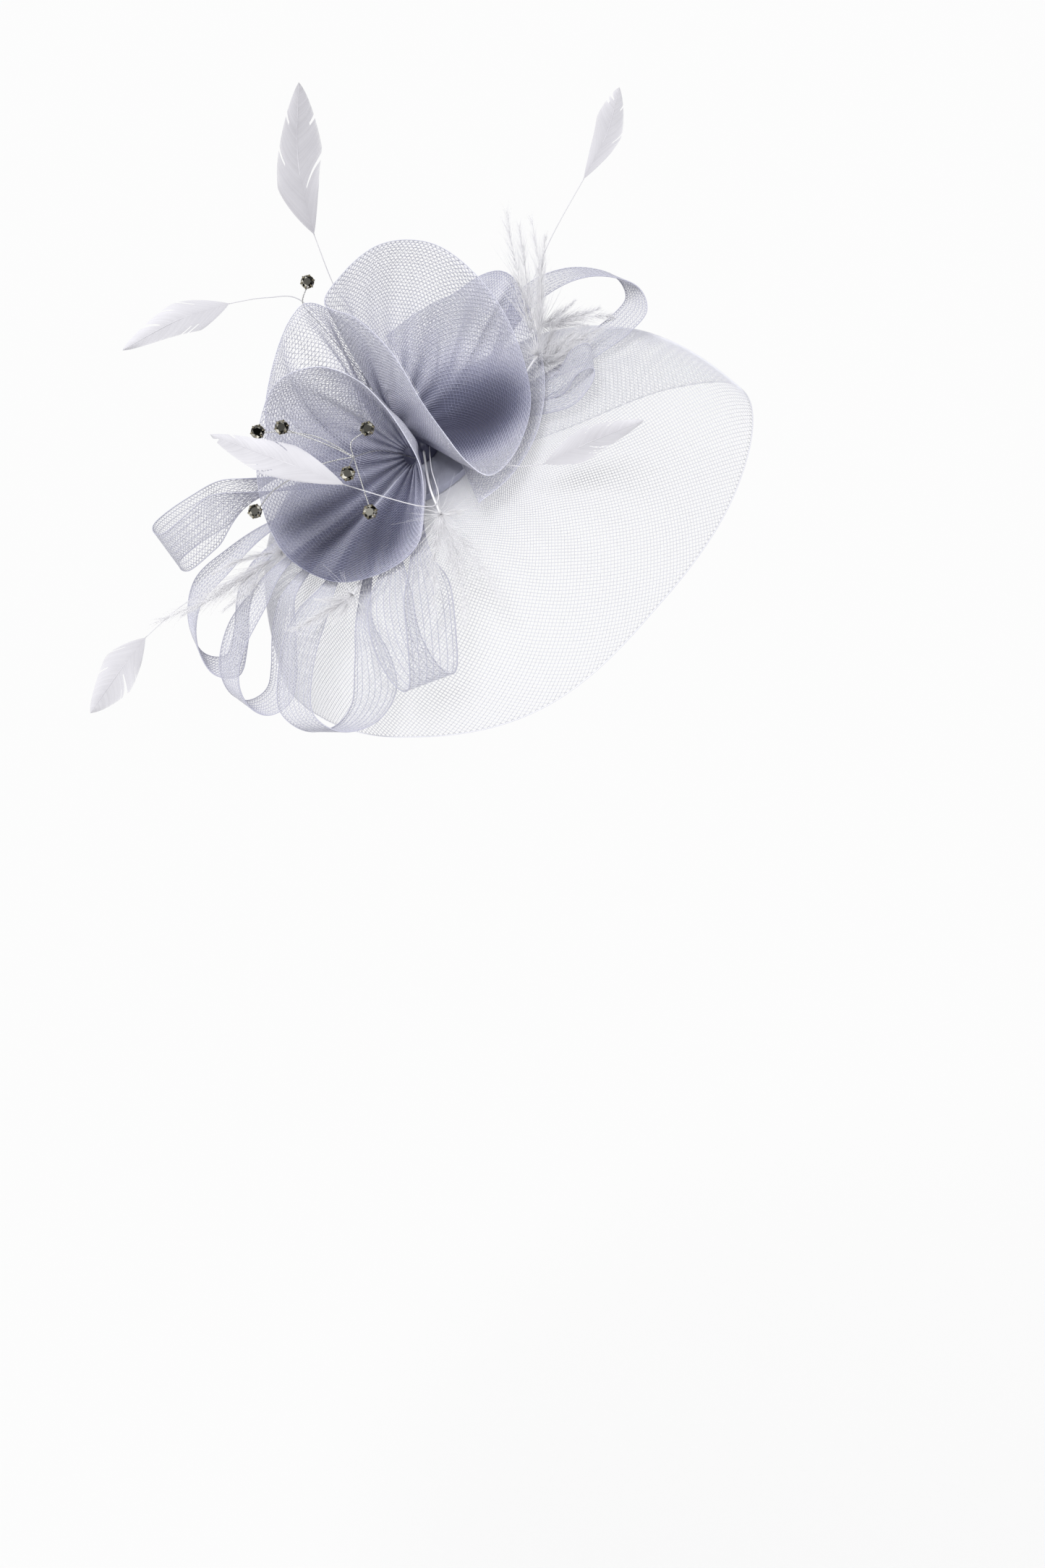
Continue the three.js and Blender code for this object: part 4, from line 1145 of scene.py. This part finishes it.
def lock_of_barbs(head, tip, spread):
    """A rib that bows from head to tip as t times 1 - t, with barbs that leave it all round.

    A barb goes forwards in proportion to t, outwards by t to the power of 0.8 times the spread, and
    curls by t squared. It is shorter the nearer to the tip it is rooted.
    """
    along = np.linspace(0, 1, 12)
    length = np.linalg.norm(tip - head)
    bow = face_out * lock_bow * length + lock_draw.normal(0, 0.14 * length, 3)

    def rib(t):
        t = np.asarray(t)[..., None]
        return head + (tip - head) * t + bow * t * (1 - t)

    rooted = lock_draw.uniform(0.12, 0.99, barbs_a_lock)
    forward = unit(rib(rooted + 0.01) - rib(rooted))
    across = unit(np.cross(forward, face_out))
    turn = lock_draw.uniform(0, 2 * pi, barbs_a_lock)
    flat = 0.45
    outward = across * np.cos(turn)[:, None] + face_out * (np.sin(turn) * flat)[:, None]
    reach = length * barb_length_share * (1.2 - rooted) * lock_draw.uniform(0.6, 1.3, barbs_a_lock)
    reach = reach[:, None, None]
    t = np.linspace(0, 1, 5)[None, :, None]
    curl = lock_draw.normal(0, 0.1, (barbs_a_lock, 1, 3))
    path = rib(rooted)[:, None] + reach * (
        forward[:, None] * t * 0.95 + outward[:, None] * t ** 0.8 * spread + curl * t ** 2
    )
    core = rib(along)
    core_radius = np.linspace(lock_rib_radius, lock_tip_radius, len(along))
    return [
        soft_barbs(path, forward, outward),
        threads(core[None], route_normal(core)[None], core_radius[None]),
    ]


def soft_head(head, toward_tips, size):
    """Short barbs that leave the tied end all round, more of them towards the tips.

    Each goes out in proportion to t and curls by t squared.
    """
    way = unit(lock_draw.normal(0, 1, (head_barbs, 3)) * 0.75 + toward_tips * 0.6)
    reach = (size * lock_draw.uniform(0.5, 1.0, head_barbs))[:, None, None]
    t = np.linspace(0, 1, 6)[None, :, None]
    curl = lock_draw.normal(0, 0.35, (head_barbs, 1, 3))
    path = head + reach * (way[:, None] * t + curl * t ** 2)
    return soft_barbs(path, way, face_out)


for name, root, stalk, tips, spread, head_size in plume_table:
    stem = np.vstack([root, in_trim(stalk, plume_reach)])
    ends = in_trim(tips, plume_reach)
    bundles = [rod_along(stem, 24, stalk_radius, stalk_end_radius, stalk_sides)]
    for tip in ends:
        bundles.extend(lock_of_barbs(stem[-1], tip, spread))
    bundles.append(soft_head(stem[-1], unit(ends.mean(0) - stem[-1]), head_size * plume_reach))
    points, faces = joined(bundles)
    piece(name + "_down", points, faces, down_finish, [name])


# Wire sprays
# Two fine silver-plated wires twisted together, branching from a trunk that is sewn in beside
# the petals. Each branch ends at the back of a stone's setting.

spray_reach = 0.100
wire_radius = 0.0006
strand_radius = 0.00020
strand_offset = 0.00020
twist_pitch = 0.0026
steps_a_twist = 6
strand_sides = 4
stone_face = unit(trim_axes @ np.array([-0.1, 0.1, 1.0]))
on_trunk = felt_thickness + knot_height * 0.4

# name, root, trunk, then for each stone its name, route and place
spray_table = [
    ("spray_wires_1", over_base(232, knot_radius + clearance + wire_radius, on_trunk),
     [(-0.2, 0.04, 0.44), (-0.33, 0.01, 0.64)],
     [("stone_1", [(-0.49, 0.1, 0.6), (-0.66, 0.13, 0.47)], (-0.79, 0.13, 0.46)),
      ("stone_2", [(-0.46, 0.07, 0.62)], (-0.67, 0.15, 0.54)),
      ("stone_3", [(-0.34, 0.08, 0.62)], (-0.26, 0.14, 0.64)),
      ("stone_4", [(-0.35, -0.04, 0.75)], (-0.35, -0.07, 0.84)),
      ("stone_5", [(-0.29, -0.12, 0.7)], (-0.25, -0.25, 0.76)),
      ("stone_6", [(-0.5, -0.03, 0.6), (-0.71, -0.14, 0.5)], (-0.81, -0.25, 0.46))]),
    ("spray_wires_2", over_base(112, root_radius, felt_thickness + clearance + wire_radius),
     [(-0.24, 0.3, -0.14), (-0.3, 0.42, -0.12)],
     [("stone_7", [(-0.5, 0.66, -0.08), (-0.59, 0.77, -0.06)], (-0.56, 0.87, -0.02)),
      ("stone_8", [(-0.29, 0.47, -0.11)], (-0.28, 0.52, -0.08))]),
]


def silver(shade):
    """Bright silver plate, greyer and duller where it has tarnished."""
    tarnish = shade.noise(140, 3)
    return {
        "Base Color": tarnish.mix((0.52, 0.51, 0.49, 1), (0.86, 0.86, 0.87, 1)),
        "Metallic": 1.0,
        "Roughness": tarnish * 0.2 + 0.18,
    }


silver_finish = finish("silver_wire", silver)


def twisted_pair(points):
    """Two wires wound round a route: each is offset by a circle that turns once each pitch."""
    fine = smooth(points, np.linspace(0, 1, 400))
    run = np.concatenate([[0], np.cumsum(np.linalg.norm(np.diff(fine, axis=0), axis=-1))])
    at = np.arange(0, run[-1], twist_pitch / steps_a_twist)
    core = np.stack([np.interp(at, run, fine[:, k]) for k in range(3)], -1)
    normal = route_normal(core)
    side = unit(np.cross(np.gradient(core, axis=0), normal))
    wires = []
    for phase in (0, pi):
        turn = (2 * pi * at / twist_pitch + phase)[:, None]
        path = core + strand_offset * (side * np.cos(turn) + normal * np.sin(turn))
        wires.append(threads(path[None], normal[None], strand_radius, strand_sides))
    return wires


# Rhinestones
# Small round glass stones, cut with a table and rings of facets and foiled behind, each held by
# six claws in a plated cup on the end of its wire.

stone_radius = 0.0034
crown_height = 0.0013
setting_depth = 0.0026
facet_count = 8
claw_count = 6
cup_sides = 24
claw_sides = 6
straight_stem = 0.0025
facet_draw = np.random.default_rng(3)


def foiled_glass(shade):
    """Foil seen through glass: each facet, by its own number, is painted dark or painted with a bright
    flash of reflection.
    """
    flash = shade.attribute("facet")
    return {
        "Base Color": flash.mix((0.004, 0.004, 0.003, 1), (1.0, 0.96, 0.84, 1)),
        "Metallic": 0.95,
        "Roughness": 0.05,
    }


def claw_silver(shade):
    """Old plate, dark in its hollows and warm where it is rubbed."""
    wear = shade.noise(500, 2)
    return {
        "Base Color": wear.mix((0.02, 0.018, 0.012, 1), (0.50, 0.44, 0.30, 1)),
        "Metallic": 1.0,
        "Roughness": wear * 0.2 + 0.2,
    }


foiled_finish = finish("foiled_glass", foiled_glass)
claw_finish = finish("claw_silver", claw_silver)


def ring(count, radius, height, offset=0.0):
    """Corners evenly round a circle, turned by a share of a step."""
    turn = 2 * pi * (np.arange(count) + offset) / count
    return np.stack([radius * np.cos(turn), radius * np.sin(turn), np.full(count, height)], -1)


def cut_stone():
    """A table, a star of triangles, a ring of kites and a girdle, over a plain cone."""
    around = 2 * facet_count
    table = ring(facet_count, stone_radius * 0.55, setting_depth + crown_height)
    star = ring(facet_count, stone_radius * 0.78, setting_depth + crown_height * 0.62, 0.5)
    girdle = ring(around, stone_radius * 0.95, setting_depth)
    foot = ring(around, stone_radius * 0.2, setting_depth * 0.2)
    points = np.concatenate([table, star, girdle, foot])
    t, s, g, f = 0, len(table), 2 * len(table), 2 * len(table) + around
    i = np.arange(facet_count)
    before, after = (i - 1) % facet_count, (i + 1) % facet_count
    j = np.arange(around)
    j_after = (j + 1) % around
    faces = [
        (t + i)[None, :],
        np.stack([t + i, s + i, t + after], -1),
        np.stack([t + i, s + before, g + 2 * i, s + i], -1),
        np.stack([s + i, g + 2 * i, g + 2 * i + 1], -1),
        np.stack([s + i, g + 2 * i + 1, g + 2 * after], -1),
        np.stack([g + j, f + j, f + j_after, g + j_after], -1),
        (f + j[::-1])[None, :],
    ]
    return points, faces


def claw_cup():
    """A turned cup that widens from the wire, with claws bent over the stone's girdle."""
    profile = np.array([
        (0.0, 0.0), (0.36, 0.0), (0.62, 0.35), (0.9, 0.72),
        (1.0, 0.92), (0.96, 0.98), (0.86, 0.7), (0.0, 0.3),
    ]) * (stone_radius, setting_depth)
    rows = [ring(cup_sides, max(radius, 1e-5), height) for radius, height in profile]
    points = np.concatenate(rows)
    bundles = [(points, [grid_faces(len(rows), cup_sides, True)])]
    spoke = ring(claw_count, 1.0, 0.0, 0.25)[:, None]
    route = np.array([(0.97, 0.62), (1.02, 0.98), (0.96, 1.16), (0.8, 1.3), (0.7, 1.36)])
    path = spoke * (route[:, 0] * stone_radius)[None, :, None]
    path = path + np.array([0, 0, 1]) * (route[:, 1] * setting_depth)[None, :, None]
    tangent_round = np.cross(spoke, [0, 0, 1]) * np.ones((1, len(route), 1))
    radius = np.array([0.0004, 0.0004, 0.0004, 0.00042, 0.00034])[None, :] * np.ones((claw_count, 1))
    bundles.append(threads(path, tangent_round, radius, claw_sides))
    return joined(bundles)


across_face = unit(np.cross([0, 0, 1.0], stone_face))
stone_axes = np.stack([across_face, np.cross(stone_face, across_face), stone_face], -1)
gem_points, gem_faces = cut_stone()
cup_points, cup_faces = claw_cup()
for name, root, trunk, branches in spray_table:
    trunk_points = np.vstack([root, in_trim(trunk, spray_reach)])
    wires = twisted_pair(trunk_points)
    for stone, route, end in branches:
        place = in_trim(end, spray_reach)
        approach = place - stone_face * straight_stem
        stop = place - stone_face * clearance
        wires += twisted_pair(np.vstack([trunk_points[-1], in_trim(route, spray_reach), approach, stop]))
        # Each facet's painted reflection: most are dark, a few flash bright
        flash = facet_draw.uniform(0, 1, sum(len(part) for part in gem_faces)) ** 3
        gem = gem_points @ stone_axes.T + place
        piece(stone + "_glass", gem, gem_faces, foiled_finish, [stone],
              facets=flash.astype(np.float32))
        cup = cup_points @ stone_axes.T + place
        piece(stone + "_cup", cup, cup_faces, claw_finish, [stone])
    points, faces = joined(wires)
    piece(name + "_twist", points, faces, silver_finish, [name])
